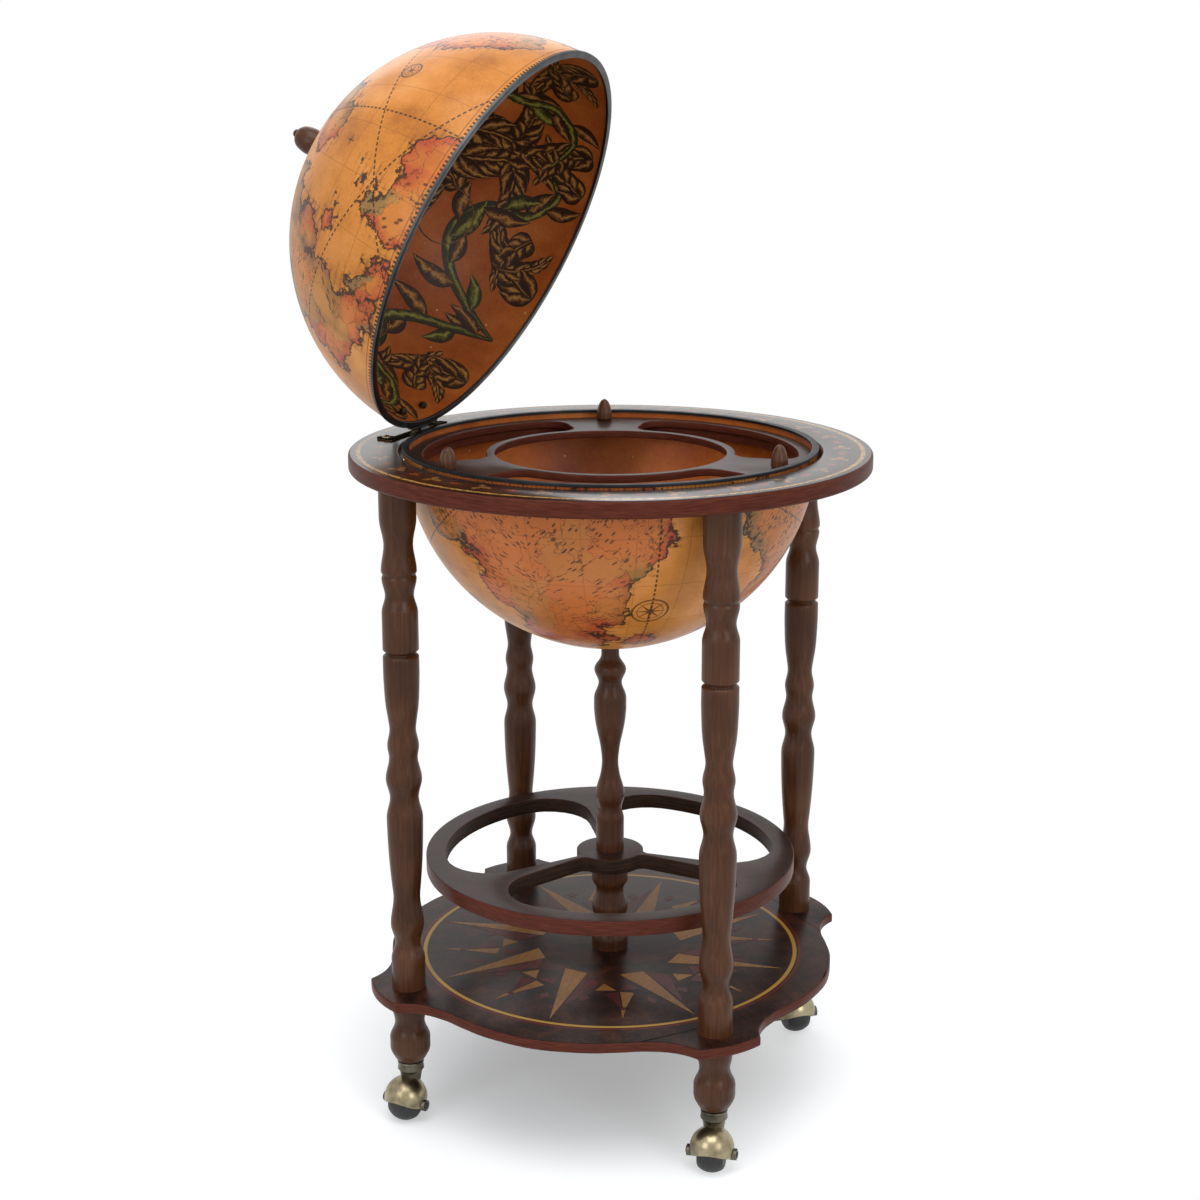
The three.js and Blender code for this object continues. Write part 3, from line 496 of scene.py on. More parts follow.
def paintRing(tree, place, face):
    # gold line near the rim, inside it small gold leaf stars with red hearts, lozenges between
    plan, radius = axisPlan(tree, place)
    line = within(tree, radius, ringPaint["lineHalf"] - lineSoft, lineSoft, ringPaint["line"])
    parts = add(tree, "SeparateXYZ", [plan])
    turn = add(tree, "Math", [parts.outputs[1], parts.outputs[0]], operation='ARCTAN2')
    pitch = fullTurn / ringPaint["signs"]
    share = add(tree, "Math", [turn, pitch], operation='FLOORED_MODULO')
    middle = add(tree, "Math", [share, pitch / 2], operation='SUBTRACT')
    signRadius = ringPaint["signRadius"]
    across = add(tree, "Math", [middle, signRadius], operation='MULTIPLY')
    out = add(tree, "Math", [radius, signRadius], operation='SUBTRACT')
    # stars: three uneven leaves round each middle
    spot = add(tree, "CombineXYZ", [across, out, 0.0])
    distance = add(tree, "VectorMath", [spot], operation='LENGTH').outputs["Value"]
    angle = add(tree, "Math", [out, across], operation='ARCTAN2')
    leaves = add(tree, "Math", [angle, 3.0], operation='MULTIPLY')
    wave = add(tree, "Math", [leaves], operation='COSINE')
    size = ringPaint["signSize"]
    reach = add(tree, "Math", [wave, size * 0.4, size * 0.35], operation='MULTIPLY_ADD')
    wobble = add(tree, "TexNoise", {"Vector": place, "Scale": 90, "Detail": 3})
    uneven = add(tree, "Math", [wobble, size * 0.5, reach], operation='MULTIPLY_ADD')
    inside = add(tree, "Math", [uneven, distance], operation='SUBTRACT')
    star = add(tree, "MapRange", [inside, 0.5, 1.3])
    heart = add(tree, "MapRange", [inside, 5.4, 6])
    # lozenges half way between the stars
    fromMiddle = add(tree, "Math", [across], operation='ABSOLUTE')
    aside = add(tree, "Math", [fromMiddle, pitch / 2 * signRadius], operation='SUBTRACT')
    shares = [add(tree, "Math", [add(tree, "Math", [off], operation='ABSOLUTE'), half],
                  operation='DIVIDE') for off, half in zip((aside, out), ringPaint["lozenge"])]
    lozenge = within(tree, add(tree, "Math", shares), 1, 0.16)
    # the gold and red are rubbed thin in patches of 4 mm
    worn = add(tree, "TexNoise", {"Vector": place, "Scale": 260, "Detail": 3})
    rubbed = add(tree, "MapRange", [worn, 0.38, 0.6, 0.3, 0.95])
    return layOver(tree, face, (star, rubbed, ringPaint["signGold"]),
                   (heart, rubbed, ringPaint["signRed"]), (lozenge, rubbed, ringPaint["signRed"]),
                   (line, rubbed, ringPaint["lineGold"]))


ringBoard = lacqueredBoard("dark lacquered board with gold line", lacquerOf("gloss"), paintRing)

shelfPaint = [(185.5, 2.2, "a37c34"), (190.5, 1.4, "5a1a14")]  # radius, half width and colour


def paintShelf(tree, place, face):
    # gold circle and a thin dark red one outside it
    radius = axisPlan(tree, place)[1]
    return layOver(tree, face, *[
        (within(tree, radius, half - lineSoft, lineSoft, middle), 1.0, code)
        for middle, half, code in shelfPaint])


shelfBoard = lacqueredBoard("dark lacquered board with inlaid circles", lacquerOf("satin"),
                            paintShelf)


def metal(name, code, darkCode, roughness, patina=0.5, glance="ffffff"):
    # patina settles in patches, edges are rubbed brighter; glance is the shine at a flat angle
    material, tree, place = startMaterial(name)
    patches = add(tree, "TexNoise", {"Vector": place, "Scale": 60, "Detail": 4, "Roughness": 0.5})
    fine = add(tree, "TexNoise", {"Vector": place, "Scale": 1400, "Detail": 2})  # 0.7 mm grit
    settled = add(tree, "MapRange", [patches, 0.4, 0.66])
    edge = add(tree, "MapRange", [add(tree, "NewGeometry").outputs["Pointiness"], 0.5, 0.58])
    colour = layOver(tree, hexColour(code), (settled, patina, darkCode), (edge, 0.6, code))
    rough = add(tree, "MapRange", [patches, 0, 1, roughness - 0.08, roughness + 0.12])
    finishMaterial(tree, colour, (fine, 0.000008), {
        "Metallic": 1.0, "Roughness": rough, "Specular Tint": hexColour(glance)})
    return material


# bronzed strip is grey-black, with hardly a shine where it is dulled; antique brass is pale gold
# with brown patches, dull brass grey-brown, blackened brass all but black; zinc plate is light grey
darkSteel = metal("bronzed steel strip, brushed", "4a4c4d", "232425", 0.4, 0.6)
dulledSteel = metal("bronzed steel strip, dulled", "2e2f31", "1a1b1c", 0.5, 0.5)
antiqueBrass = metal("antique brass plate, rubbed bright at the edges", "a3977a", "3d3626",
                     0.28, 0.7)
dullBrass = metal("brass plate gone dull and grey", "6a6456", "2b2822", 0.38, 0.8)
blackenedBrass = metal("blackened brass", "453a27", "14110c", 0.36, 0.9, "5a5040")
zincSteel = metal("zinc plated steel", "b9babc", "7d7e80", 0.3, 0.4)


def blackRubber():
    # hard black rubber tyre with dust in the fine mould texture
    material, tree, place = startMaterial("moulded black rubber")
    dust = add(tree, "TexNoise", {"Vector": place, "Scale": 220, "Detail": 4})  # specks of 4 mm
    colour = add(tree, "ValToRGB", [dust], stops=[(0.4, "151516"), (0.75, "2a2a2b")])
    rough = add(tree, "MapRange", [dust, 0, 1, 0.42, 0.62])
    finishMaterial(tree, colour, (dust, 0.00002), {"Roughness": rough})
    return material


rubber = blackRubber()


def directionOn(latitude, longitude):
    flat = math.cos(math.radians(latitude))
    return Vector((flat * math.cos(math.radians(longitude)),
                   flat * math.sin(math.radians(longitude)), math.sin(math.radians(latitude))))


def compassAt(centre):
    # east and north on the globe at a direction from its centre
    east = Vector((0, 0, 1)).cross(centre)
    east = east.normalized() if east.length > 0.001 else Vector((1, 0, 0))
    return east, centre.cross(east)


# The printed map: lands are joined round patches of latitude, longitude and reach in degrees;
# roses and stars have latitude, longitude and size, sizes and widths are shares of the radius
globeMap = {
    "lands": [
        (-6, 156, 15), (-12, 178, 20), (-14, 203, 17), (-30, 176, 15), (-36, 190, 15),
        (-49, 182, 11), (-60, 188, 7), (-8, 252, 11), (-16, 266, 17), (-38, 272, 12),
        (-52, 262, 7), (-24, 320, 19), (-12, 344, 12), (-44, 334, 12), (-20, 20, 12),
        (-34, 38, 14), (-8, 62, 9), (-30, 92, 10), (-62, 110, 9), (-58, 216, 5), (-70, 300, 9),
        (16, 146, 9), (10, 158, 8), (8, 171, 6), (22, 158, 8), (34, 150, 12), (46, 158, 11),
        (36, 172, 6), (52, 178, 7), (5, 192, 10), (3, 206, 9), (17, 191, 4), (21, 196, 3),
        (28, 181, 4), (46, 208, 9), (54, 226, 7), (24, 262, 15), (12, 284, 12), (40, 280, 15),
        (58, 300, 10), (30, 320, 13), (14, 340, 8), (66, 40, 14), (44, 30, 16), (22, 14, 12),
        (18, 62, 14), (36, 84, 11), (10, 104, 8), (58, 110, 9), (78, 200, 8),
    ],
    "unevenness": 0.22, "coast": 0.0068, "countries": 4.2,
    "roses": [(-40.3, 216.7, 0.085), (30, 232, 0.05), (-30, 300, 0.06), (38, 120, 0.05),
              (-44, 140, 0.04)],
    "stars": [(-14.5, 243, 0.035), (33, 203, 0.035), (12, 128, 0.03), (-20, 130, 0.03)],
    "rays": {"roses": 8, "stars": 4}, "hub": 0.16, "innerCircle": 0.72,
    "dashed": [((22.4, 179.7), (4.6, 224.1)), ((-10, 216.2), (-60, 218)), ((30, 300), (-20, 20))],
    "dashPitch": 0.0145, "dash": 0.0092, "dashHalf": 0.0038,
    # in degrees
    "gridStep": 15, "gridHalf": 0.1, "hatchPitch": 1.1, "hatchHalf": 0.33,
    "scalePitch": 1.25, "scaleTeeth": 1.75, "scaleLine": 2.6,
    "seaPaper": [(0.48, "a8652a"), (0.6, "c17a32"), (0.74, "cf8742"), (0.86, "d99653")],
    "landTints": [(0, "bd5f34"), (0.26, "c07434"), (0.44, "8f7848"), (0.58, "a97a42"),
                  (0.76, "bd6238")],
    "shoreTints": [(0.2, "a83e2c"), (0.38, "6e5e44"), (0.56, "75622f"), (0.7, "a83e2c")],
    "rust": "b9602f", "ink": "3a281c", "gridInk": "6b3f1e", "speck": "4a2c18",
    # what differs between the halves: rust on the land, reach of the coast's hill strokes, width
    # of the ridges, number of hills, how the strokes thin out, and share of the pitch in a tooth
    "upper": {"rust": 0.0, "onshore": (0.055, 0.01), "ridge": 0.035, "hills": 0.62,
              "thinned": (0.42, 0.5), "tooth": 0.25},
    "lower": {"rust": 0.45, "onshore": (0.13, 0.04), "ridge": 0.07, "hills": 0.8,
              "thinned": (0.34, 0.4), "tooth": 0.05},
}


def closedDirection(tree, place, opened):
    # direction from the globe's centre, the lid taken as closed
    radius = globeBar["globeRadius"] * mm
    turn = -openTurn if opened else 0
    shift = hingePoint - globeCentre - Matrix.Rotation(turn, 3, 'X') @ hingePoint
    moved = add(tree, "Mapping", {"Vector": place, "Location": shift / radius,
                                  "Rotation": (turn, 0, 0), "Scale": (1 / radius,) * 3})
    return add(tree, "VectorMath", [moved], operation='NORMALIZE')


def onHalf(places, opened):
    return [place for place in places if (place[0] > 0) == opened]


def alongAxes(tree, way, *axes):
    return [add(tree, "VectorMath", [way, axis], operation='DOT_PRODUCT').outputs["Value"]
            for axis in axes]


def mapLand(tree, stirred, opened):
    # over 0 on land, under 0 at sea: round patches that flow together
    land = None
    for latitude, longitude, reach in onHalf(globeMap["lands"], opened):
        off = add(tree, "VectorMath", [stirred, directionOn(latitude, longitude)],
                  operation='DISTANCE').outputs["Value"]
        patch = add(tree, "Math", [math.radians(reach), off], operation='SUBTRACT')
        land = patch if land is None else add(tree, "Math", [land, patch, 0.05],
                                              operation='SMOOTH_MAX')
    return land


def mapCourses(tree, way):
    # dashed courses along great circles
    courses = []
    for start, end in globeMap["dashed"]:
        first = directionOn(*start)
        normal = first.cross(directionOn(*end)).normalized()
        across, forward, abreast = alongAxes(tree, way, normal, normal.cross(first), first)
        travelled = add(tree, "Math", [forward, abreast], operation='ARCTAN2')
        folded = add(tree, "Math", [travelled, globeMap["dashPitch"]], operation='PINGPONG')
        dash = add(tree, "Math", [folded, globeMap["dash"]], operation='LESS_THAN')
        courses.append(both(tree, dash, within(tree, across, globeMap["dashHalf"], 0.0015, 0)))
    return either(tree, *courses)


def mapSigns(tree, way, opened):
    # wind roses in two circles, and compass stars
    signs = []
    for kind, rays in globeMap["rays"].items():
        for latitude, longitude, size in onHalf(globeMap[kind], opened):
            centre = directionOn(latitude, longitude)
            x, y, facing = alongAxes(tree, way, *compassAt(centre), centre)
            flat = add(tree, "CombineXYZ", [x, y, 0.0])
            radius = add(tree, "VectorMath", [flat], operation='LENGTH').outputs["Value"]
            angle = add(tree, "Math", [y, x], operation='ARCTAN2')
            fold = add(tree, "Math", [angle, math.pi / rays], operation='PINGPONG')
            tip = add(tree, "Math", [fold, rays / math.pi * 0.8, globeMap["hub"]],
                      operation='MULTIPLY_ADD')
            reach = add(tree, "Math", [size * globeMap["hub"], tip], operation='DIVIDE')
            sign = add(tree, "Math", [radius, reach], operation='LESS_THAN')
            if kind == "roses":
                sign = either(tree, sign, within(tree, radius, 0.0035, 0.002, size),
                              within(tree, radius, 0.0012, 0.0015, size * globeMap["innerCircle"]))
            near = add(tree, "Math", [facing, 0.5], operation='GREATER_THAN')
            signs.append(both(tree, sign, near))
    return either(tree, *signs)


def paperMap(name, opened):
    # printed paper gores on the shell, aged orange under clear varnish
    material, tree, place = startMaterial(name)
    half = globeMap["upper" if opened else "lower"]
    way = closedDirection(tree, place, opened)
    parts = add(tree, "SeparateXYZ", [way])
    rise = add(tree, "Math", [parts.outputs[2]], operation='ARCSINE')
    turn = add(tree, "Math", [parts.outputs[1], parts.outputs[0]], operation='ARCTAN2')
    latitude, longitude = [add(tree, "Math", [angle, 180 / math.pi], operation='MULTIPLY')
                           for angle in (rise, turn)]
    flatness = add(tree, "Math", [rise], operation='COSINE')
    # coast: the outlines of the land are stirred by noise
    stir = add(tree, "TexNoise", {"Vector": way, "Scale": 4.2, "Detail": 7, "Roughness": 0.62})
    centred = add(tree, "VectorMath", [stir.outputs["Color"], (0.5, 0.5, 0.5)],
                  operation='SUBTRACT')
    stirred = add(tree, "VectorMath", [centred, (globeMap["unevenness"] * 2,) * 3, way],
                  operation='MULTIPLY_ADD')
    land = mapLand(tree, stirred, opened)
    isLand = add(tree, "MapRange", [land, -0.001, 0.001])
    isSea = add(tree, "Math", [1.0, isLand], operation='SUBTRACT')
    shore = within(tree, land, globeMap["coast"], 0.002, 0)
    # paper: mottled orange, browner in clouds, the land tinted by country and along its shore
    clouds = add(tree, "TexNoise", {"Vector": way, "Scale": 3.2, "Detail": 4, "Roughness": 0.55})
    fibres = add(tree, "TexNoise", {"Vector": way, "Scale": 90, "Detail": 4, "Roughness": 0.7})
    mottled = add(tree, "Math", [fibres, 0.3, clouds], operation='MULTIPLY_ADD')
    sea = add(tree, "ValToRGB", [mottled], stops=globeMap["seaPaper"])
    countries = add(tree, "TexVoronoi", {"Vector": stirred, "Scale": globeMap["countries"]})
    tint = add(tree, "SeparateXYZ", [countries.outputs["Color"]]).outputs[0]
    country, shoreTint = [add(tree, "ValToRGB", [tint], stops=globeMap[tints])
                          for tints in ("landTints", "shoreTints")]
    toned = add(tree, "MixRGB", [0.5, sea, country])
    inland = add(tree, "MixRGB", [half["rust"], toned, hexColour(globeMap["rust"])])
    rosy = add(tree, "MapRange", [land, 0.004, 0.075, 0.8, 0])
    blush = add(tree, "MixRGB", [rosy, inland, shoreTint])
    paper = add(tree, "MixRGB", [isLand, sea, blush])
    # engraver's lines: hatching off the coasts, hill strokes on the ridges and along the coasts
    rows = add(tree, "Math", [latitude, globeMap["hatchPitch"]], operation='PINGPONG')
    broken = add(tree, "TexNoise", {"Vector": way, "Scale": 34, "Detail": 3})
    patchy = add(tree, "MapRange", [broken, 0.42, 0.5])
    offshore = add(tree, "MapRange", [land, -0.045, -0.002])
    seaHatch = both(tree, within(tree, rows, globeMap["hatchHalf"], 0.22), patchy, offshore, isSea)
    eastward = add(tree, "Math", [longitude, flatness], operation='MULTIPLY')
    northward = add(tree, "Math", [latitude, 0.62], operation='MULTIPLY')
    hillPlace = add(tree, "CombineXYZ", [eastward, northward, 0.0])
    hills = add(tree, "TexVoronoi", {"Vector": hillPlace, "Scale": half["hills"]})
    hillStrokes = both(tree, within(tree, hills.outputs["Distance"], 0.24, 0.12), isLand)
    ridges = add(tree, "TexNoise", {"Vector": stirred, "Scale": 3.4, "Detail": 2})
    highland = both(tree, hillStrokes, within(tree, ridges, half["ridge"], 0.01, 0.5))
    onshore = add(tree, "MapRange", [land, *half["onshore"]])
    thinned = add(tree, "MapRange", [broken, *half["thinned"]])
    coastal = both(tree, hillStrokes, onshore, thinned)
    # rivers, and dotted borders between the countries
    riverCourse = add(tree, "TexNoise", {"Vector": way, "Scale": 5.2, "Detail": 5})
    river = both(tree, within(tree, riverCourse, 0.0035, 0.003, 0.52), isLand)
    edges = add(tree, "TexVoronoi", {"Vector": stirred, "Scale": globeMap["countries"]},
                feature='DISTANCE_TO_EDGE')
    dots = add(tree, "TexVoronoi", {"Vector": way, "Scale": 120})
    border = both(tree, within(tree, edges.outputs["Distance"], 0.012, 0.008), isLand,
                  within(tree, dots.outputs["Distance"], 0.42, 0.1))
    # lines of latitude and longitude
    alongLatitude, alongLongitude = [
        add(tree, "Math", [angle, globeMap["gridStep"] / 2], operation='PINGPONG')
        for angle in (latitude, longitude)]
    grid = either(tree, *[within(tree, away, globeMap["gridHalf"], 0.1) for away in (
        alongLatitude, both(tree, alongLongitude, flatness))])
    # graduated scale along the rim
    height = add(tree, "Math", [latitude], operation='ABSOLUTE')
    pitch = globeMap["scalePitch"]
    folded = add(tree, "Math", [longitude, pitch / 2], operation='PINGPONG')
    tooth = add(tree, "Math", [folded, pitch * half["tooth"]], operation='LESS_THAN')
    teeth = both(tree, tooth, within(tree, height, globeMap["scaleTeeth"], 0.08))
    scaleLine = within(tree, height, 0.07, 0.07, globeMap["scaleLine"])
    # all ink together, uneven as an old print, then brown specks
    specks = add(tree, "TexVoronoi", {"Vector": way, "Scale": 48})
    speck = within(tree, specks.outputs["Distance"], 0.07, 0.05)
    inked = [(seaHatch, 0.6), (highland, 0.8), (coastal, 0.8), (river, 0.6), (border, 0.65),
             (shore, 0.92), (mapCourses(tree, way), 0.9), (mapSigns(tree, way, opened), 0.85),
             (scaleLine, 0.7), (teeth, 0.95)]
    colour = layOver(tree, paper, (grid, 0.3, globeMap["gridInk"]),
                     *[(mask, strength, globeMap["ink"]) for mask, strength in inked],
                     (speck, 0.35, globeMap["speck"]))
    rough = add(tree, "MapRange", [fibres, 0, 1, 0.34, 0.46])
    finishMaterial(tree, colour, (fibres, 0.00002), {
        "Roughness": rough, "Specular IOR Level": 0.15, "Coat Weight": 0.12, "Coat Roughness": 0.1})
    return material


bowlMap = paperMap("printed map paper, lower half", False)
lidMap = paperMap("printed map paper, upper half", True)

matt = {"Roughness": 0.5, "Specular IOR Level": 0.2, "Coat Weight": 0.05, "Coat Roughness": 0.2}
liningPaper = {"ground": [(0.42, "8c3f14"), (0.6, "a8561f"), (0.76, "b9682c"), (0.9, "c0763a")],
               "star": "e0b878", "starSize": 0.045, "trim": "2a1a12", "trimHeight": 0.016}


def starPaper(name, opened):
    # the lining of the shell: orange-brown printed paper with small stars, dark at the rim
    material, tree, place = startMaterial(name)
    way = closedDirection(tree, place, opened)
    clouds = add(tree, "TexNoise", {"Vector": way, "Scale": 2.6, "Detail": 6, "Roughness": 0.6})
    fibres = add(tree, "TexNoise", {"Vector": way, "Scale": 80, "Detail": 4})
    mixed = add(tree, "Math", [fibres, 0.25, clouds], operation='MULTIPLY_ADD')
    ground = add(tree, "ValToRGB", [mixed], stops=liningPaper["ground"])
    dots = add(tree, "TexVoronoi", {"Vector": way, "Scale": 11})
    star = within(tree, dots.outputs["Distance"], liningPaper["starSize"], 0.02)
    trim = within(tree, add(tree, "SeparateXYZ", [way]).outputs[2], liningPaper["trimHeight"],
                  0.002, 0)
    colour = layOver(tree, ground, (star, 0.8, liningPaper["star"]),
                     (trim, 0.9, liningPaper["trim"]))
    finishMaterial(tree, colour, (fibres, 0.00002), {**matt, "Roughness": 0.45})
    return material


lidLining = starPaper("printed star paper, upper half", True)
bowlLining = starPaper("printed star paper, lower half", False)


def engraved(name, shadow, body, light):
    # printed brush strokes as an old engraver cut them: dark contour and shadow side, a broken
    # light along the upper side, cross lines 3 to 4 mm apart and a dark root
    material, tree, place = startMaterial(name)
    parts = add(tree, "SeparateXYZ", [add(tree, "UVMap", uv_map="UVMap")])
    along = parts.outputs[0]
    across = add(tree, "Math", [parts.outputs[1], 2.0, -1.0], operation='MULTIPLY_ADD')
    out = add(tree, "Math", [across], operation='ABSOLUTE')
    hand = add(tree, "TexNoise", {"Vector": place, "Scale": 95, "Detail": 5, "Roughness": 0.65})
    uneven = add(tree, "Math", [hand, 2.4, across], operation='MULTIPLY_ADD')
    tone = add(tree, "ValToRGB", [add(tree, "MapRange", [uneven, 0.1, 2.3])], stops=[
        (0.3, shadow), (0.46, body), (0.58, light), (0.7, body), (0.84, shadow)])
    slanted = add(tree, "Math", [along, 15.0, across], operation='MULTIPLY_ADD')
    lines = add(tree, "Math", [slanted, 0.5], operation='PINGPONG')
    hatch = both(tree, within(tree, lines, 0.14, 0.14), within(tree, uneven, 1.0, 0.5))
    root = within(tree, along, 0, 0.3)
    contour = add(tree, "MapRange", [out, 0.84, 0.97])
    colour = layOver(tree, tone, (hatch, 0.6, shadow), (root, 0.85, shadow),
                     (contour, 0.85, "2a180d"))
    finishMaterial(tree, colour, None, matt)
    return material


umberPrint = engraved("umber and ochre print", "321c0f", "805229", "c28e47")
olivePrint = engraved("olive green print", "302b12", "6c672d", "a09a46")

print("materials made")


# Camera, light and floor

viewpoint = {"place": (-1.8179, -0.8120, 1.0133), "turn": 23.19, "fall": 14.49,
             "lens": 63.37, "sensor": 36, "shiftY": -0.0069}
bpy.ops.object.camera_add(location=viewpoint["place"], rotation=(
    math.radians(90 - viewpoint["fall"]), 0, math.radians(viewpoint["turn"] - 90)))
camera = bpy.context.object
camera.data.lens = viewpoint["lens"]
camera.data.sensor_width = viewpoint["sensor"]
camera.data.shift_y = viewpoint["shiftY"]
bpy.context.scene.camera = camera
bpy.context.scene.view_settings.view_transform = 'Standard'

studio = {
    "world": 0.46,
    "lamps": [  # place, aimed at, size, watts
        ((-0.9, -0.4, 3.2), (0, 0, 0.6), 2.2, 52),
        ((-2.7, 0.7, 1.6), (0, 0, 0.5), 1.4, 15),
        ((-1.5, -2.5, 1.5), (0, 0, 0.45), 1.2, 16),
        ((1.9, 1.3, 2.2), (0, 0, 0.6), 1.6, 13),
    ],
    "floorPaint": "f2f6fa", "white": "ffffff",
    "floorNear": 0.15, "floorGlow": 1.75, "fadeStart": 0.08, "fadeEnd": 0.64,
}
for place, aim, size, watts in studio["lamps"]:
    away = Vector(place) - Vector(aim)
    bpy.ops.object.light_add(type='AREA', location=place,
                             rotation=away.to_track_quat('Z', 'Y').to_euler())
    lamp = bpy.context.object.data
    lamp.size = size
    lamp.energy = watts


def whiteFor(tree):
    # 1 for rays that show the backdrop: straight from the camera, mirrored or seen through glass
    path = add(tree, "LightPath").outputs
    return either(tree, path["Is Camera Ray"], path["Is Glossy Ray"], path["Is Transmission Ray"])


world = bpy.data.worlds.new("white studio")
bpy.context.scene.world = world
world.use_nodes = True
world.node_tree.nodes.clear()
strength = add(world.node_tree, "MapRange", [whiteFor(world.node_tree), 0, 1, studio["world"], 1.0])
sky = add(world.node_tree, "Background", [hexColour(studio["white"]), strength])
add(world.node_tree, "OutputWorld", [sky])

bpy.ops.mesh.primitive_plane_add(size=60, location=(0, 0, -0.0002))
floor = bpy.context.object
floor.name = "studio_floor"
# matte paint that takes the shadow near the bar and fades to a white backdrop further out
paleFloor, tree, place = startMaterial("pale painted studio floor")
matte = add(tree, "BsdfDiffuse", [hexColour(studio["floorPaint"])])
away = add(tree, "VectorMath", [place], operation='LENGTH').outputs["Value"]
share, level = [add(tree, "MapRange", [away, studio["fadeStart"], studio["fadeEnd"], near, 1.0],
                    interpolation_type='SMOOTHSTEP')
                for near in (studio["floorNear"], studio["floorGlow"])]
glow = add(tree, "Emission", [hexColour(studio["white"]), level])
lift = both(tree, whiteFor(tree), share)
add(tree, "OutputMaterial", [add(tree, "MixShader", [lift, matte, glow])])
floor.data.materials.append(paleFloor)
print("camera, lights and floor set")


# Stand: legs, feet and pillar, turned

leg = {"radius": 17.2, "height": 493, "foot": "shelfTop", "shares": [
    (0, 0.936), (0.061, 0.936), (0.093, 0.692), (0.132, 0.93), (0.187, 0.741), (0.213, 0.802),
    (0.239, 0.866), (0.276, 0.936), (0.312, 0.977), (0.351, 0.997), (0.391, 0.785), (0.429, 0.994),
    (0.471, 0.779), (0.495, 0.866), (0.527, 0.718), (0.548, 0.785), (0.572, 0.884), (0.594, 0.936),
    (0.619, 0.965), (0.643, 0.983), (0.671, 0.977), (0.678, 0.8), (0.685, 0.977), (0.757, 0.977),
    (0.789, 0.773), (0.822, 0.942), (0.829, 0.89), (0.836, 0.965), (0.886, 0.785), (0.937, 1),
    (1, 1)]}
foot = {"radius": 19.45, "height": 65.5, "foot": "casterHeight", "shares": [
    (0, 0.7), (0.03, 0.77), (0.084, 0.869), (0.14, 0.96), (0.206, 1), (0.359, 1), (0.43, 0.93),
    (0.52, 0.79), (0.603, 0.735), (0.786, 0.838), (1, 0.874)]}


def turnedSolid(name, sizes, steps=64):
    outline = easedOutline(sizes["shares"], sizes["radius"], sizes["height"])
    return turnPiece(name, [(0, 0)] + outline + [(0, sizes["height"])], steps)


def cornerPoint(corner, height=0):
    turn = math.radians(corner["turn"])
    reach = globeBar["legCircle"] * mm
    return Vector((reach * math.cos(turn), reach * math.sin(turn), height * mm))


for label, sizes in (("leg", leg), ("foot", foot)):
    pattern = turnedSolid(f"{label}_pattern", sizes)
    for side, corner in corners.items():
        point = cornerPoint(corner, globeBar[sizes["foot"]])
        piece = copyOf(pattern, f"turned_{label}_{side}", standPlace @ Matrix.Translation(point))
        finishPiece(piece, "base", "walnut", [walnut], f"{label}_{side}")
    drop(pattern)

lowerPost = {"radius": 18, "height": 88.5, "foot": 136, "shares": [
    (0, 1), (0.102, 1), (0.271, 0.722), (0.475, 1), (0.701, 0.75), (0.814, 1), (1, 1)]}
upperPost = {"radius": 15.85, "height": 213.7, "foot": 239.5, "shares": [
    (0, 0.871), (0.152, 0.871), (0.204, 0.726), (0.269, 0.915), (0.372, 0.593), (0.428, 0.505),
    (0.498, 0.593), (0.578, 0.808), (0.615, 0.902), (0.653, 0.965), (0.69, 1), (0.737, 1),
    (0.81, 0.713), (0.873, 0.984), (0.938, 0.555), (1, 0.543)]}
for name, node, sizes in (("turned_post_lower", "post_lower", lowerPost),
                          ("turned_post_upper", "post_upper", upperPost)):
    post = settle(turnedSolid(name, sizes), raised(axisPlace, sizes["foot"]))
    finishPiece(post, "base", "walnut", [walnut], node)
print("legs, feet and posts turned")


# Boards: shelf with its inlaid rose, rack and top ring

shelf = {"reach": 249, "thickness": 10, "edge": 1.6,
         "lobeCorner": (0.977, 0.131), "lobeFront": (1.023, 0),
         "coveBend": (0.892, 0.161), "coveEnd": (0.847, 0.249),
         "waist": [(0.826, 0.29), (0.797, 0.369), (0.744, 0.483), (0.633, 0.633)]}


def curveThrough(points, steps):
    # a Catmull-Rom curve through the points
    ends = [points[0]] + points + [points[-1]]
    line = []
    for p0, p1, p2, p3 in zip(ends, ends[1:], ends[2:], ends[3:]):
        for step in range(steps):
            t = step / steps
            line.append(0.5 * ((2 * p1) + (p2 - p0) * t + (2 * p0 - 5 * p1 + 4 * p2 - p3) * t * t
                               + (3 * p1 - p0 - 3 * p2 + p3) * t ** 3))
    return line + [points[-1]]


def shelfRim():
    def bend(start, middle, end, steps=10):
        return [start * (1 - t) ** 2 + middle * 2 * t * (1 - t) + end * t * t
                for t in (step / steps for step in range(steps))]

    def swapped(point):
        return Vector((point[1], point[0]))

    lobeCorner, lobeFront = Vector(shelf["lobeCorner"]), Vector(shelf["lobeFront"])
    coveBend, coveEnd = Vector(shelf["coveBend"]), Vector(shelf["coveEnd"])
    waist = [Vector(share) for share in shelf["waist"]]
    waist = ([coveEnd] + waist + [swapped(share) for share in reversed(waist[:-1])]
             + [swapped(coveEnd)])
    side = (bend(Vector((lobeCorner.x, -lobeCorner.y)), lobeFront, lobeCorner)
            + bend(lobeCorner, coveBend, coveEnd) + curveThrough(waist, 6)[:-1]
            + bend(swapped(coveEnd), swapped(coveBend), swapped(lobeCorner)))
    rim = []
    for corner in corners.values():
        turn = Matrix.Rotation(math.radians(corner["turn"]), 2)
        rim += [tuple(turn @ point * shelf["reach"]) for point in side]
    return rim


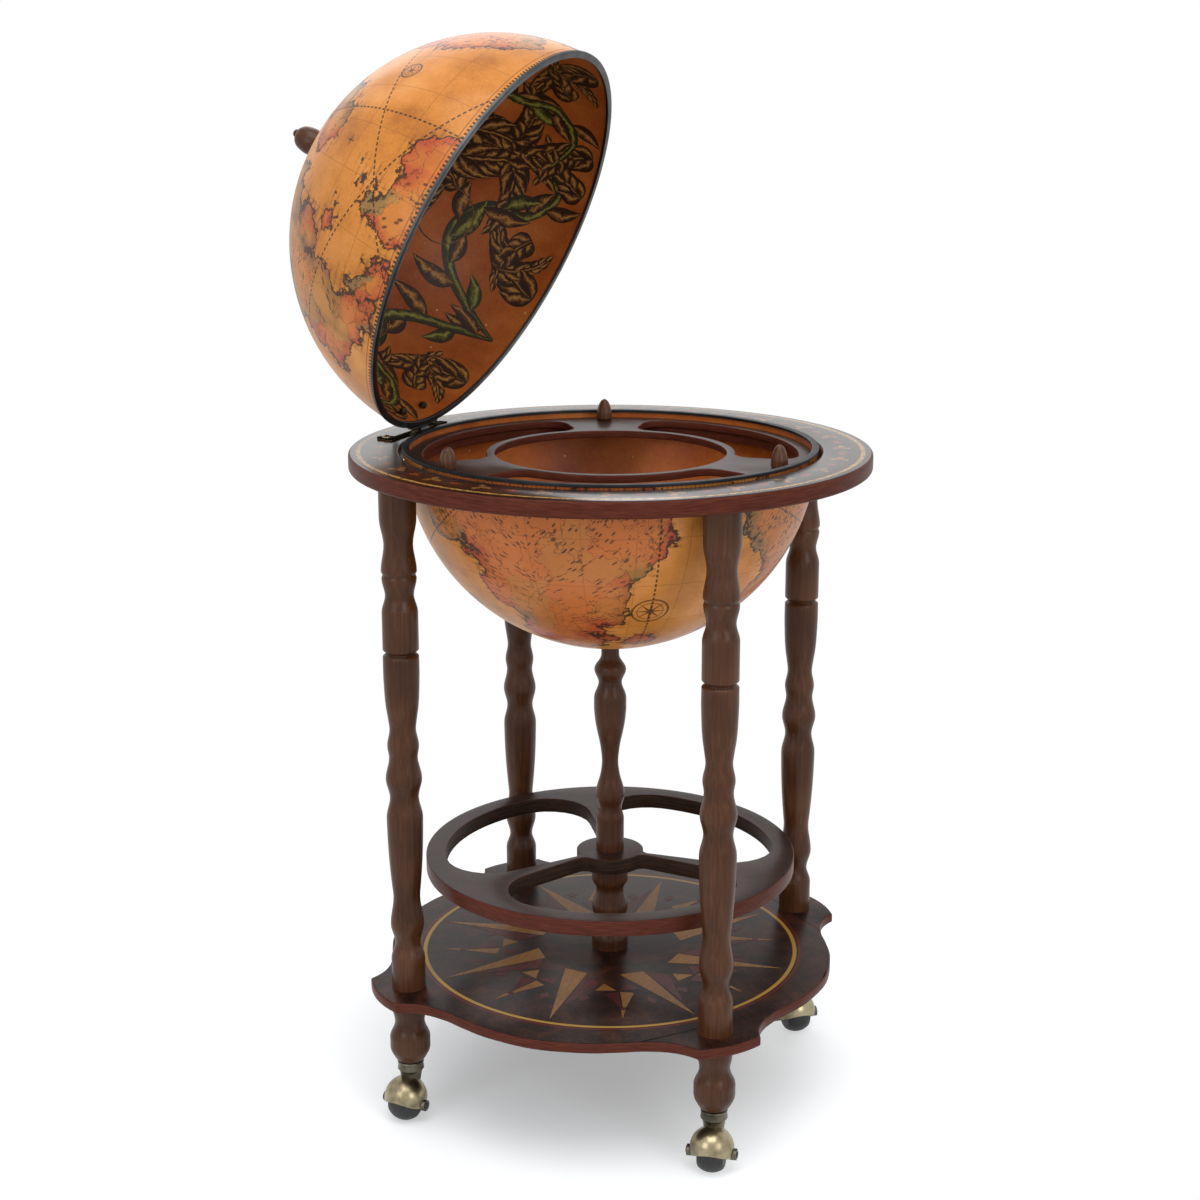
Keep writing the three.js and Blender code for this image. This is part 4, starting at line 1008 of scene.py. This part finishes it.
shelfPiece = boardPiece("lobed_shelf", [shelfRim()], shelf["thickness"], shelf["edge"])
settle(shelfPiece, raised(standPlace, globeBar["shelfUnderside"]))
finishPiece(shelfPiece, "base", "board", [shelfBoard], "bottom_shelf")

# each shape repeats eight times; corners are radius in mm and turn in degrees
rose = {
    "thickness": 0.12, "repeats": 8, "grain": (60, 700, 60),
    "gold": [[(72, -19), (178, 0), (72, 0.5)], [(92.5, 14.8), (108.5, 11.2), (108, 21.8)],
             [(111, 23.5), (145, 23.3), (145, 24.5), (115, 30)],
             [(151, 22.4), (168, 22.5), (151, 24)]],
    "red": [[(74, 1.2), (150, 1.1), (92, 12.5)], [(111, 22.7), (115, 16), (145, 22.4), (145, 22.9)],
            [(92.5, 30.2), (108, 22.8), (108.5, 33.5)],
            [(145.8, 22.2), (150.2, 22.3), (150.2, 24.2), (145.8, 24.4)],
            [(118, 6.6), (126, 9.6), (134, 7), (126, 4.4)],
            [(126, 35.4), (134, 38), (142, 35.8), (134, 33.6)]],
}


def veneer(name, code, grainCode):
    # thin veneer let into the board under the same lacquer, its grain 1.4 mm apart
    material, tree, place = startMaterial(name)
    lines = stretchedNoise(tree, place, rose["grain"], {"Detail": 4})
    colour = add(tree, "ValToRGB", [lines], stops=[(0.35, grainCode), (0.65, code)])
    finishMaterial(tree, colour, None, lacquerOf("satin"))
    return material


goldVeneer = veneer("gold stained veneer", "8f6530", "7a5124")
redVeneer = veneer("dark red stained veneer", "541c18", "3c1411")


def inlay(name, shapes):
    parts = []
    for shape in shapes:
        for repeat in range(rose["repeats"]):
            first = repeat * 360 / rose["repeats"]
            parts.append(flatShape([
                (radius * math.cos(math.radians(first + turn)),
                 radius * math.sin(math.radians(first + turn))) for radius, turn in shape], 'NGON'))
    piece = joined(name, *parts)
    bpy.ops.object.mode_set(mode='EDIT')
    bpy.ops.mesh.select_all(action='SELECT')
    drawUp(rose["thickness"])
    return settle(piece, raised(standPlace, globeBar["shelfTop"]))


for label, veneered in (("gold", goldVeneer), ("red", redVeneer)):
    finishPiece(inlay(f"rose_inlay_{label}", rose[label]), "base", "board", [veneered])

rack = {"radius": 182.5, "underside": 224.5, "thickness": 15, "edge": 0.9,
        "openings": (90, -30, -150), "halfAngle": 55.7, "inner": 33, "outer": 162.5,
        "innerCorner": 9, "outerCorner": 45}
rackPiece = boardPiece("round_rack", [circleOutline(rack["radius"], 180)]
                       + [sectorOutline(turn, rack) for turn in rack["openings"]],
                       rack["thickness"], rack["edge"])
settle(rackPiece, raised(axisPlace, rack["underside"]))
finishPiece(rackPiece, "base", "board", [board, sawnEdge], "bottle_rack")


def inOpening(face):
    # the upright faces nearer to the axis than the middle of the outer rail
    out = (face.center - axisPlace.translation).xy.length
    return abs(face.normal.z) < 0.5 and out < (rack["radius"] + rack["outer"]) / 2 * mm


paintSome(rackPiece, inOpening)

ring = {"hole": 199.2, "outer": 247.5, "thickness": 16, "edge": 3, "holeEdge": 0.8}
ringPiece = turnPiece("wooden_ring", closedOutline(
    roundedPoint(ring["hole"], 0, ring["holeEdge"], 180)
    + roundedPoint(ring["outer"], 0, ring["edge"], 270)
    + roundedPoint(ring["outer"], ring["thickness"], ring["edge"], 0)
    + roundedPoint(ring["hole"], ring["thickness"], ring["edge"], 90)), 180)
settle(ringPiece, raised(axisPlace, globeBar["ringUnderside"]))
finishPiece(ringPiece, "base", "board", [ringBoard, boardEdge], "top_ring")
paintSome(ringPiece, lambda face: abs(face.normal.z) < 0.9)
print("boards made")


# Globe: two shells with rim bands, the ledge and the bottle floor

halfTurn = Matrix.Rotation(math.pi, 4, 'X')


def shellPiece(name, materials, place, body, node):
    # half a sphere given its wall; the second material lines the inside and the rim
    bpy.ops.object.select_all(action='DESELECT')
    bpy.ops.mesh.primitive_uv_sphere_add(segments=144, ring_count=96,
                                         radius=globeBar["globeRadius"] * mm)
    shell = bpy.context.object
    shell.name = name
    bpy.ops.object.mode_set(mode='EDIT')
    bpy.ops.mesh.select_all(action='SELECT')
    bpy.ops.mesh.bisect(plane_co=(0, 0, globeBar["wallEdge"] * mm), plane_no=(0, 0, 1),
                        clear_inner=True)
    bpy.ops.object.mode_set(mode='OBJECT')
    for material in materials:
        shell.data.materials.append(material)
    modify(shell, 'SOLIDIFY', thickness=globeBar["globeWall"] * mm, offset=-1,
           material_offset=1, material_offset_rim=1)
    settle(smooth(shell), place)
    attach(shell, body)
    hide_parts(node)


shellPiece("globe_bowl", [bowlMap, bowlLining], bowlPlace @ halfTurn, "base", "globe_lower_shell")
shellPiece("globe_lid", [lidMap, lidLining], lidPlace, "lid", "lid_shell")

band = {"outer": 196.8, "inner": 190.2, "edge": 0.4, "top": 3, "rounding": 0.5,
        "wallOuter": 195.6, "wallInner": 191.4, "grooveFoot": 1.4}
bandOutline = closedOutline(
    roundedPoint(band["inner"], band["edge"], band["rounding"], 180)
    + roundedPoint(band["outer"], band["edge"], band["rounding"], 270)
    + [(band["outer"], band["top"]), (band["wallOuter"], band["top"]),
       (band["wallOuter"], band["grooveFoot"]), (band["wallInner"], band["grooveFoot"]),
       (band["wallInner"], band["top"]), (band["inner"], band["top"])])
for name, place, body, node, finish in (
        ("rim_band_lower", bowlPlace @ halfTurn, "base", "lower_rim_band", dulledSteel),
        ("rim_band_lid", lidPlace, "lid", "lid_rim_band", darkSteel)):
    finishPiece(settle(turnPiece(name, bandOutline, 144), place), body, "dark_steel",
                [finish], node)

ledge = {"inner": 179.8, "top": -14.9, "foot": -22.9, "outerTop": 190.6, "outerFoot": 189.8,
         "chamfer": 1}
ledgePiece = turnPiece("tray_rest", closedOutline([
    (ledge["inner"], ledge["foot"]), (ledge["outerFoot"], ledge["foot"]),
    (ledge["outerTop"], ledge["top"]), (ledge["inner"] + ledge["chamfer"], ledge["top"]),
    (ledge["inner"], ledge["top"] - ledge["chamfer"])]), 144)
finishPiece(settle(ledgePiece, bowlPlace), "base", "board", [board], "tray_ledge")
bottleFloor = {"radius": 145.6, "top": -124, "foot": -130, "footRadius": 140.2, "chamfer": 0.6}
floorPiece = turnPiece("round_bottle_floor", [
    (0, bottleFloor["foot"]), (bottleFloor["footRadius"], bottleFloor["foot"]),
    (bottleFloor["radius"], bottleFloor["top"] - bottleFloor["chamfer"]),
    (bottleFloor["radius"] - bottleFloor["chamfer"], bottleFloor["top"]),
    (0, bottleFloor["top"])], 128)
finishPiece(settle(floorPiece, bowlPlace), "base", "board", [board], "bottle_floor")
print("globe shells made")


# Lining print: vines with leaves, ribbons, fronds, circles, stars and a rosette inside the lid

liningPrint = {
    "radius": 191.4, "thickness": 0.25, "rim": 4.2, "thinnest": 0.15,
    "sectors": 6, "first": 14, "layers": 9, "layer": 0.05,  # strokes lie over each other
    "vine": [(6, -30), (17, -26), (30, -18), (36, -5), (29, 8), (17, 10), (10, 20), (15, 31)],
    "vineHalf": [1.5, 4.6, 6, 6.2, 5.8, 5, 4, 1.2], "vineSteps": 60,
    "vineLeaves": [  # share along the vine, way to the side, length, half width
        (0.08, 1, 44, 8), (0.15, -1, 40, 8), (0.24, 1, 56, 10), (0.31, -1, 40, 9),
        (0.4, -1, 56, 10), (0.47, 1, 44, 9), (0.55, -1, 52, 9), (0.63, 1, 44, 8),
        (0.71, 1, 40, 8), (0.78, -1, 40, 8), (0.87, 1, 38, 7), (0.95, -1, 30, 7)],
    "vineLeafSlant": 52, "vineLeafBend": -20,
    "fronds": [  # foot, pairs of leaves, heading, length, half width, curl of the rib in all
        ((47, 24), 9, -95, 112, 8, 50), ((3, -12), 8, 80, 92, 7.5, -60),
        ((58, -14), 7, -60, 80, 7, 70), ((27, 26), 7, 205, 74, 7, -50),
        ((12, 4), 6, 140, 60, 6.5, 60), ((3, 23), 6, 70, 66, 7, -50),
        ((18, -9), 6, -75, 54, 6, 50), ((40, 9), 6, 40, 58, 6.5, 60), ((62, 4), 5, 120, 46, 6, 40)],
    "ribbon": [(60, -27), (51, -19), (47, -6), (53, 5), (62, 10), (67, -4)],
    "ribbonHalf": [0.8, 3.4, 4.4, 4, 3, 0.8], "ribbonSteps": 40,
    "star": {"centre": (66, 12), "rays": 16, "length": 22, "shorter": 0.6, "half": 2.6},
    "orbit": {"centre": (40, -2), "reach": 30, "half": 0.7, "points": 16, "steps": 64},
    "rosette": {"leaves": 14, "start": 14, "length": 50, "spread": 1.3, "half": 9},
}
leafPrint = {"root": 0.5, "stalk": 0.6, "swell": 0.85, "shoulder": 0.6, "tip": 0.2, "steps": 14}
frondPrint = {
    "leafShare": 0.4, "slant": 50, "bend": -24,
    "closing": 0.4, "shortening": 0.5, "narrowing": 0.45,  # from the foot to the tip
    "endShare": 0.2, "endHalf": 0.5, "ribHalf": 0.34, "ribTip": 0.4, "ribSteps": 40,
}


def tangentPoint(centre, heading, distance):
    # unit direction reached from centre by going distance mm along the heading in degrees
    east, north = compassAt(centre)
    way = east * math.cos(math.radians(heading)) + north * math.sin(math.radians(heading))
    angle = distance / liningPrint["radius"]
    return (centre * math.cos(angle) + way * math.sin(angle)).normalized()


strokes = {"umber": [], "olive": []}
strokeGrids = {}


def strokeGrid(steps):
    # a flat strip of faces, made once for each number of steps and copied for each stroke
    if steps not in strokeGrids:
        bpy.ops.object.select_all(action='DESELECT')
        bpy.ops.mesh.primitive_grid_add(x_subdivisions=steps, y_subdivisions=2, size=1)
        strokeGrids[steps] = bpy.context.object
    copy = strokeGrids[steps].copy()
    copy.data = strokeGrids[steps].data.copy()
    bpy.context.collection.objects.link(copy)
    return copy


def brushStroke(tone, line, halfWidths, steps):
    # a printed stroke: a grid bent along the line on the inside of the lid
    stroke = strokeGrid(steps)
    smoothLine = curveThrough(line, 8)
    smoothHalf = [value[0] for value in curveThrough([Vector((h, 0)) for h in halfWidths], 8)]
    last = len(smoothLine) - 1
    level = (len(strokes["umber"]) + len(strokes["olive"])) % liningPrint["layers"]
    radius = liningPrint["radius"] - level * liningPrint["layer"]
    for vertex in stroke.data.vertices:
        at = min(max(vertex.co.x + 0.5, 0), 1) * last
        index = min(int(at), last - 1)
        along = at - index
        centre = smoothLine[index].lerp(smoothLine[index + 1], along).normalized()
        side = centre.cross(smoothLine[index + 1] - smoothLine[index]).normalized()
        half = smoothHalf[index] * (1 - along) + smoothHalf[index + 1] * along
        thick = max(half, liningPrint["thinnest"])
        point = (centre * radius + side * vertex.co.y * 2 * thick).normalized()
        if point.z * radius < liningPrint["rim"]:  # cut off where the rim band lies
            point.z = liningPrint["rim"] / radius
            point.normalize()
        vertex.co = point * radius * mm
    strokes[tone].append(stroke)


def leafStroke(tone, base, heading, length, half, bend):
    line = [tangentPoint(base, heading, leafPrint["root"])]
    for step in (1, 2, 3, 4):
        line.append(tangentPoint(base, heading + bend * step / 4, length * step / 4))
    brushStroke(tone, line, [leafPrint["stalk"], half * leafPrint["swell"], half,
                             half * leafPrint["shoulder"], leafPrint["tip"]], leafPrint["steps"])


def frond(at, pairs, heading, length, half, curl):
    # leaves in pairs along a curved rib, smaller towards its tip
    rib = [at]
    for pair in range(pairs):
        share = pair / pairs
        turn = heading + curl * share
        slant = frondPrint["slant"] * (1 - frondPrint["closing"] * share)
        leaf = length * frondPrint["leafShare"] * (1 - frondPrint["shortening"] * share)
        leafHalf = half * (1 - frondPrint["narrowing"] * share)
        for way in (-1, 1):
            leafStroke("umber", rib[-1], turn + way * slant, leaf, leafHalf,
                       way * frondPrint["bend"])
        rib.append(tangentPoint(rib[-1], turn, length / pairs))
    leafStroke("umber", rib[-1], heading + curl, length * frondPrint["endShare"],
               half * frondPrint["endHalf"], 0)
    brushStroke("umber", rib, [half * frondPrint["ribHalf"]] * pairs + [frondPrint["ribTip"]],
                frondPrint["ribSteps"])


def headingAt(line, index):
    # heading of a line on the sphere, against east
    east, north = compassAt(line[index])
    step = line[min(index + 1, len(line) - 1)] - line[max(index - 1, 0)]
    return math.degrees(math.atan2(step.dot(north), step.dot(east)))


for sector in range(liningPrint["sectors"]):
    middle = liningPrint["first"] + sector * 360 / liningPrint["sectors"]
    flip = 1 if sector % 2 else -1

    def placed(point):
        return directionOn(point[0], middle + flip * point[1])

    vine = [placed(point) for point in liningPrint["vine"]]
    brushStroke("olive", vine, liningPrint["vineHalf"], liningPrint["vineSteps"])
    fine = [point.normalized() for point in curveThrough(vine, 8)]
    for number, (share, way, length, half) in enumerate(liningPrint["vineLeaves"]):
        index = round(share * (len(fine) - 1))
        side = way * flip
        leafStroke("olive" if number % 3 == 1 else "umber", fine[index],
                   headingAt(fine, index) + side * liningPrint["vineLeafSlant"],
                   length, half, side * liningPrint["vineLeafBend"])
    brushStroke("olive", [placed(point) for point in liningPrint["ribbon"]],
                liningPrint["ribbonHalf"], liningPrint["ribbonSteps"])
    for at, pairs, heading, length, half, curl in liningPrint["fronds"]:
        frond(placed(at), pairs, heading if flip > 0 else 180 - heading, length, half, curl * flip)
    orbit = liningPrint["orbit"]
    circle = [tangentPoint(placed(orbit["centre"]), 360 * step / orbit["points"], orbit["reach"])
              for step in range(orbit["points"] + 1)]
    brushStroke("umber", circle, [orbit["half"]] * len(circle), orbit["steps"])
    star = liningPrint["star"]
    for number in range(star["rays"]):
        leafStroke("umber", placed(star["centre"]), number * 360 / star["rays"],
                   star["length"] * (1 if number % 2 else star["shorter"]), star["half"], 0)
rosette = liningPrint["rosette"]
for number in range(rosette["leaves"]):
    turn = number * 360 / rosette["leaves"]
    near = tangentPoint(Vector((0, 0, 1)), turn, rosette["start"])
    reach = math.degrees(rosette["length"] / liningPrint["radius"]) * rosette["spread"]
    far = directionOn(90 - reach, turn)
    brushStroke("olive" if number % 2 else "umber", [near, (near + far).normalized(), far],
                [1, rosette["half"], 0.3], leafPrint["steps"])
for tone, finish in (("umber", umberPrint), ("olive", olivePrint)):
    picture = joined(f"lining_print_{tone}", *strokes[tone])
    modify(picture, 'SOLIDIFY', thickness=liningPrint["thickness"] * mm, offset=1)
    smooth(picture)
    settle(picture, lidPlace)
    finishPiece(picture, "lid", "map", [finish])
for grid in strokeGrids.values():
    drop(grid)
print("lining print made")


# Knob on the lid, tray and its knobs

knob = {"radius": 13.2, "height": 46, "foot": 195.8, "shares": [
    (0, 0.8), (0.07, 0.8), (0.13, 0.5), (0.21, 0.48), (0.31, 0.78), (0.42, 0.95), (0.54, 1),
    (0.66, 0.95), (0.77, 0.84), (0.86, 0.6), (0.905, 0.3), (0.94, 0.3), (0.98, 0.2), (1, 0)]}
knobPiece = turnedSolid("turned_lid_knob", knob)
settle(knobPiece, raised(lidPlace, knob["foot"]))
finishPiece(knobPiece, "lid", "walnut", [walnut], "lid_knob")

tray = {"radius": 189.8, "hole": 110, "underside": 634.1, "thickness": 7, "edge": 0.9,
        "openings": (85, -35, -155), "halfAngle": 46, "inner": 118, "outer": 177.8,
        "innerCorner": 20, "outerCorner": 20,
        "knobCircle": 174, "knobTurns": {"front": -95, "right": 25, "left": 145}}
trayPiece = boardPiece("slotted_tray", [circleOutline(tray["radius"], 180),
                                        circleOutline(tray["hole"], 144)]
                       + [sectorOutline(turn, tray) for turn in tray["openings"]],
                       tray["thickness"], tray["edge"])
settle(trayPiece, raised(axisPlace, tray["underside"]))
finishPiece(trayPiece, "tray", "board", [board], "glass_tray")

trayKnob = {"radius": 8, "height": 22, "foot": 641.1, "shares": [
    (0, 0.8), (0.08, 1), (0.3, 0.97), (0.55, 0.85), (0.78, 0.62), (0.93, 0.33), (1, 0)]}
pattern = turnedSolid("tray_knob_pattern", trayKnob, 40)
for side, turn in tray["knobTurns"].items():
    turned = math.radians(turn)
    point = Vector((math.cos(turned), math.sin(turned), 0)) * tray["knobCircle"] * mm
    point.z = trayKnob["foot"] * mm
    piece = copyOf(pattern, f"turned_tray_knob_{side}", axisPlace @ Matrix.Translation(point))
    finishPiece(piece, "tray", "walnut", [walnut], f"tray_knob_{side}")
drop(pattern)
print("knobs and tray made")


# Hinge and the small fastenings

for name, node, body, slot, finish, edge in (
        ("scalloped_hinge_leaf", "hinge_lower_leaf", "base", "antique_brass", blackenedBrass, 0.35),
        ("curved_hinge_leaf", "hinge_upper_leaf", "lid", "dark_steel", darkSteel, 0.3),
        ("ground_hinge_pin", "hinge_pin", "base", "dark_steel", darkSteel, 0.3),
        ("pillar_bolt_head", "pillar_bolt", "base", "zinc_steel", zincSteel, 0.6),
        ("pillar_lock_nut", "pillar_nut", "base", "zinc_steel", zincSteel, 0.6),
        ("lining_nut_left", "lid_nut_left", "lid", "dark_steel", darkSteel, 0.4),
        ("lining_nut_right", "lid_nut_right", "lid", "dark_steel", darkSteel, 0.4)):
    finishPiece(fromCad(name, node, edge), body, slot, [finish], node)

capBolt = {"radius": 4.1, "height": 8, "shaft": 2, "seat": 197.7, "inner": 185.3,
           "turn": 6.3, "rise": 18, "shares": [
               (0, 1), (0.16, 1), (0.26, 0.76), (0.42, 0.88), (0.66, 0.74), (0.87, 0.42), (1, 0)]}
capOutline = [(0, capBolt["inner"]), (capBolt["shaft"], capBolt["inner"]),
              (capBolt["shaft"], capBolt["seat"])]
capOutline += [(radius, capBolt["seat"] + height) for radius, height in easedOutline(
    capBolt["shares"], capBolt["radius"], capBolt["height"])]
pattern = turnPiece("cap_bolt_pattern", capOutline, 32)
rise = math.degrees(math.asin(capBolt["rise"] / globeBar["globeRadius"]))
for side, way in (("left", -1), ("right", 1)):
    facing = directionOn(rise, 90 - way * capBolt["turn"])
    aimed = Vector((0, 0, 1)).rotation_difference(facing).to_matrix().to_4x4()
    piece = copyOf(pattern, f"acorn_bolt_{side}", lidPlace @ aimed)
    finishPiece(piece, "lid", "antique_brass", [antiqueBrass], f"lid_bolt_{side}")
drop(pattern)

roundScrew = {"radius": 4.2, "height": 2.8, "reach": 12, "shaft": 2, "point": 2, "foot": 646.6,
              "slotHalf": 0.45, "slotDepth": 0.9, "slotTurns": {"left": 15, "right": 55},
              "shares": [(0, 1), (0.3, 0.96), (0.6, 0.76), (0.85, 0.45), (1, 0)]}
screwOutline = [(0, -roundScrew["reach"]),
                (roundScrew["shaft"], -roundScrew["reach"] + roundScrew["point"]),
                (roundScrew["shaft"], 0)]
screwOutline += easedOutline(roundScrew["shares"], roundScrew["radius"], roundScrew["height"])
pattern = turnPiece("hinge_screw_pattern", screwOutline, 32)
bpy.ops.mesh.primitive_cube_add(size=1, location=(0, 0, roundScrew["height"] * mm))
slotCutter = bpy.context.object
slotCutter.scale = (3 * roundScrew["radius"] * mm, 2 * roundScrew["slotHalf"] * mm,
                    2 * roundScrew["slotDepth"] * mm)
modify(pattern, 'BOOLEAN', operation='DIFFERENCE', object=slotCutter, solver='EXACT')
drop(slotCutter)
smooth(pattern)
for side, turn in roundScrew["slotTurns"].items():
    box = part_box(f"hinge_screw_{side}")
    point = ((box[0].x + box[1].x) / 2, (box[0].y + box[1].y) / 2, roundScrew["foot"] * mm)
    piece = copyOf(pattern, f"slotted_screw_{side}", Matrix.Translation(point)
                   @ Matrix.Rotation(math.radians(turn), 4, 'Z'))
    finishPiece(piece, "base", "antique_brass", [antiqueBrass], f"hinge_screw_{side}")
drop(pattern)
print("hinge made")


# Casters: brass hood with its cup and ears, ball-like wheel, axle and stem

caster = {"hoodOuter": 20.9, "hoodInner": 19.6, "trail": 10, "axle": 18.635, "hoodCentre": 23.135,
          "archTop": 25, "archRadius": 27, "ear": 5.4, "earProud": 2.6, "bore": 2.4,
          "cupRadius": 12.8, "cupTop": 58.2, "cupFoot": 49.4, "cupFloor": 47.2, "cupRim": 2.2,
          "cupRecess": 2, "neckTop": 11.6, "neckBase": 9, "neckFoot": 36, "stemHole": 4.7,
          "wheel": 18.6, "treadHalf": 12.5, "hub": 5, "hubHalf": 15.6, "wheelBore": 2.3,
          "axleRadius": 2, "axleHead": 3.4, "axleHalf": 24.6, "washer": 5.8, "washerThickness": 2,
          "stem": 4.2, "stemTop": 90.5, "stemFoot": 47.5, "edge": 0.35, "mouldLine": 0.25}
sideways = (0, math.pi / 2, 0)  # turns a rod along the axle


def ballAt(radius):
    bpy.ops.object.select_all(action='DESELECT')
    bpy.ops.mesh.primitive_uv_sphere_add(
        segments=64, ring_count=40, radius=radius * mm,
        location=(0, caster["trail"] * mm, caster["hoodCentre"] * mm))
    return bpy.context.object


def rodAt(radius, half, middle, rotation, sides=48):
    bpy.ops.object.select_all(action='DESELECT')
    bpy.ops.mesh.primitive_cylinder_add(vertices=sides, radius=radius * mm, depth=2 * half * mm,
                                        location=Vector(middle) * mm, rotation=rotation)
    return bpy.context.object


def combine(piece, other, operation):
    modify(piece, 'BOOLEAN', operation=operation, object=other, solver='EXACT')
    drop(other)


def casterHood():
    # a ball cut open below over the wheel, with ears for the axle, a neck and the stem's cup
    hood = ballAt(caster["hoodOuter"])
    hood.name = "caster_hood_pattern"
    along, axle, arch = caster["trail"], caster["axle"], caster["archRadius"]
    combine(hood, rodAt(arch, 60, (0, along, caster["archTop"] - arch), (math.pi / 2, 0, 0), 160),
            'DIFFERENCE')
    combine(hood, rodAt(caster["ear"], caster["hoodOuter"] + caster["earProud"],
                        (0, along, axle), sideways), 'UNION')
    base, foot, neck = caster["neckBase"], caster["neckFoot"], caster["neckTop"]
    cup, low, top = caster["cupRadius"], caster["cupFoot"], caster["cupTop"]
    mouth, recess = cup - caster["cupRim"], top - caster["cupRecess"]
    collar = turnPiece("collar", closedOutline([
        (0, foot), (base, foot), (base + 1, foot + 6), (neck - 0.6, low - 1.4), (neck, low - 0.4),
        (cup - 0.4, low), (cup, low + 0.6), (cup - 0.5, low + 4), (cup - 0.3, top - 1.6),
        (cup, top - 0.8), (cup - 0.5, top), (mouth + 0.5, top), (mouth, top - 0.6),
        (mouth, recess), (caster["stemHole"], recess), (caster["stemHole"], caster["cupFloor"]),
        (0, caster["cupFloor"])]), 48)
    combine(hood, collar, 'UNION')
    combine(hood, ballAt(caster["hoodInner"]), 'DIFFERENCE')
    combine(hood, rodAt(caster["bore"], 40, (0, along, axle), sideways, 32), 'DIFFERENCE')
    takeUp(hood)
    bpy.ops.object.transform_apply(location=True, rotation=True, scale=True)
    roundEdges(hood, caster["edge"], 50)
    return smooth(hood, 40)


onAxle = (Matrix.Translation(Vector((0, caster["trail"], caster["axle"])) * mm)
          @ Matrix.Rotation(math.pi / 2, 4, 'Y'))


def casterWheel():
    # a ball-like tread with a mould line round its middle, on a hub that stands out
    half, hub, end, bore = (caster[key] for key in ("treadHalf", "hub", "hubHalf", "wheelBore"))
    steps = 24
    tread = []
    for step in range(steps + 1):
        offset = -half + step * 2 * half / steps
        line = caster["mouldLine"] if step == steps // 2 else 0
        tread.append((math.sqrt(caster["wheel"] ** 2 - offset ** 2) - line, offset))
    shoulder = tread[0][0] - 0.8
    side = [(bore, end), (hub - 0.5, end), (hub, end - 0.5), (hub + 0.3, half - 0.8),
            (hub + 2, half - 0.3), (shoulder, half)]
    wheel = turnPiece("caster_wheel_pattern", closedOutline(
        [(radius, -height) for radius, height in side] + tread[1:-1] + side[::-1]), 64)
    return settle(wheel, onAxle)


def casterAxle():
    half, head, radius = caster["axleHalf"], caster["axleHead"], caster["axleRadius"]
    start = caster["hoodOuter"] + caster["earProud"] + 0.3
    side = [(0, half), (head * 0.6, half - 0.05), (head * 0.92, half - 0.3), (head, start + 0.15),
            (head - 0.15, start), (radius, start)]
    axle = turnPiece("caster_axle_pattern", [(r, -h) for r, h in side] + side[::-1], 40)
    return settle(axle, onAxle)


def casterStem():
    # a pin that goes up into the foot, with its washer under the wood
    stem, washer, top = caster["stem"], caster["washer"], globeBar["casterHeight"]
    low, foot, end = top - caster["washerThickness"], caster["stemFoot"], caster["stemTop"]
    return turnPiece("caster_stem_pattern", [
        (0, foot), (stem - 0.5, foot), (stem, foot + 0.5), (stem, low), (washer - 0.3, low),
        (washer, low + 0.3), (washer, top - 0.3), (washer - 0.3, top), (stem, top),
        (stem, end - 1), (stem - 1, end), (0, end)], 40)


def offBall(place):
    # the cup, neck and ears stand out of the hood's ball
    centre = place @ (Vector((0, caster["trail"], caster["hoodCentre"])) * mm)
    return lambda face: (face.center - centre).length > (caster["hoodOuter"] + 0.3) * mm


for label, make, body, slot, finishes in (
        ("hood", casterHood, "caster", "antique_brass", [antiqueBrass, dullBrass]),
        ("wheel", casterWheel, "wheel", "wheel", [rubber]),
        ("axle", casterAxle, "caster", "dark_steel", [darkSteel]),
        ("stem", casterStem, "base", "zinc_steel", [zincSteel])):
    pattern = make()
    for side, corner in corners.items():
        turned = Matrix.Rotation(math.radians(corner["casterTurn"]), 4, 'Z')
        place = Matrix.Translation(standPlace @ cornerPoint(corner)) @ turned
        piece = copyOf(pattern, f"fine_caster_{label}_{side}", place)
        finishPiece(piece, body if body == "base" else f"{body}_{side}", slot, finishes,
                    f"caster_{label}_{side}")
        if label == "hood":
            paintSome(piece, offBall(place))
    drop(pattern)
print("casters made")

# CAD nodes that stay as they are, inside the wood
for node in ["lid_knob_screw"] + [f"leg_stud_{side}" for side in corners]:
    for materialSlot in frame["nodes"][node].material_slots:
        materialSlot.material = zincSteel
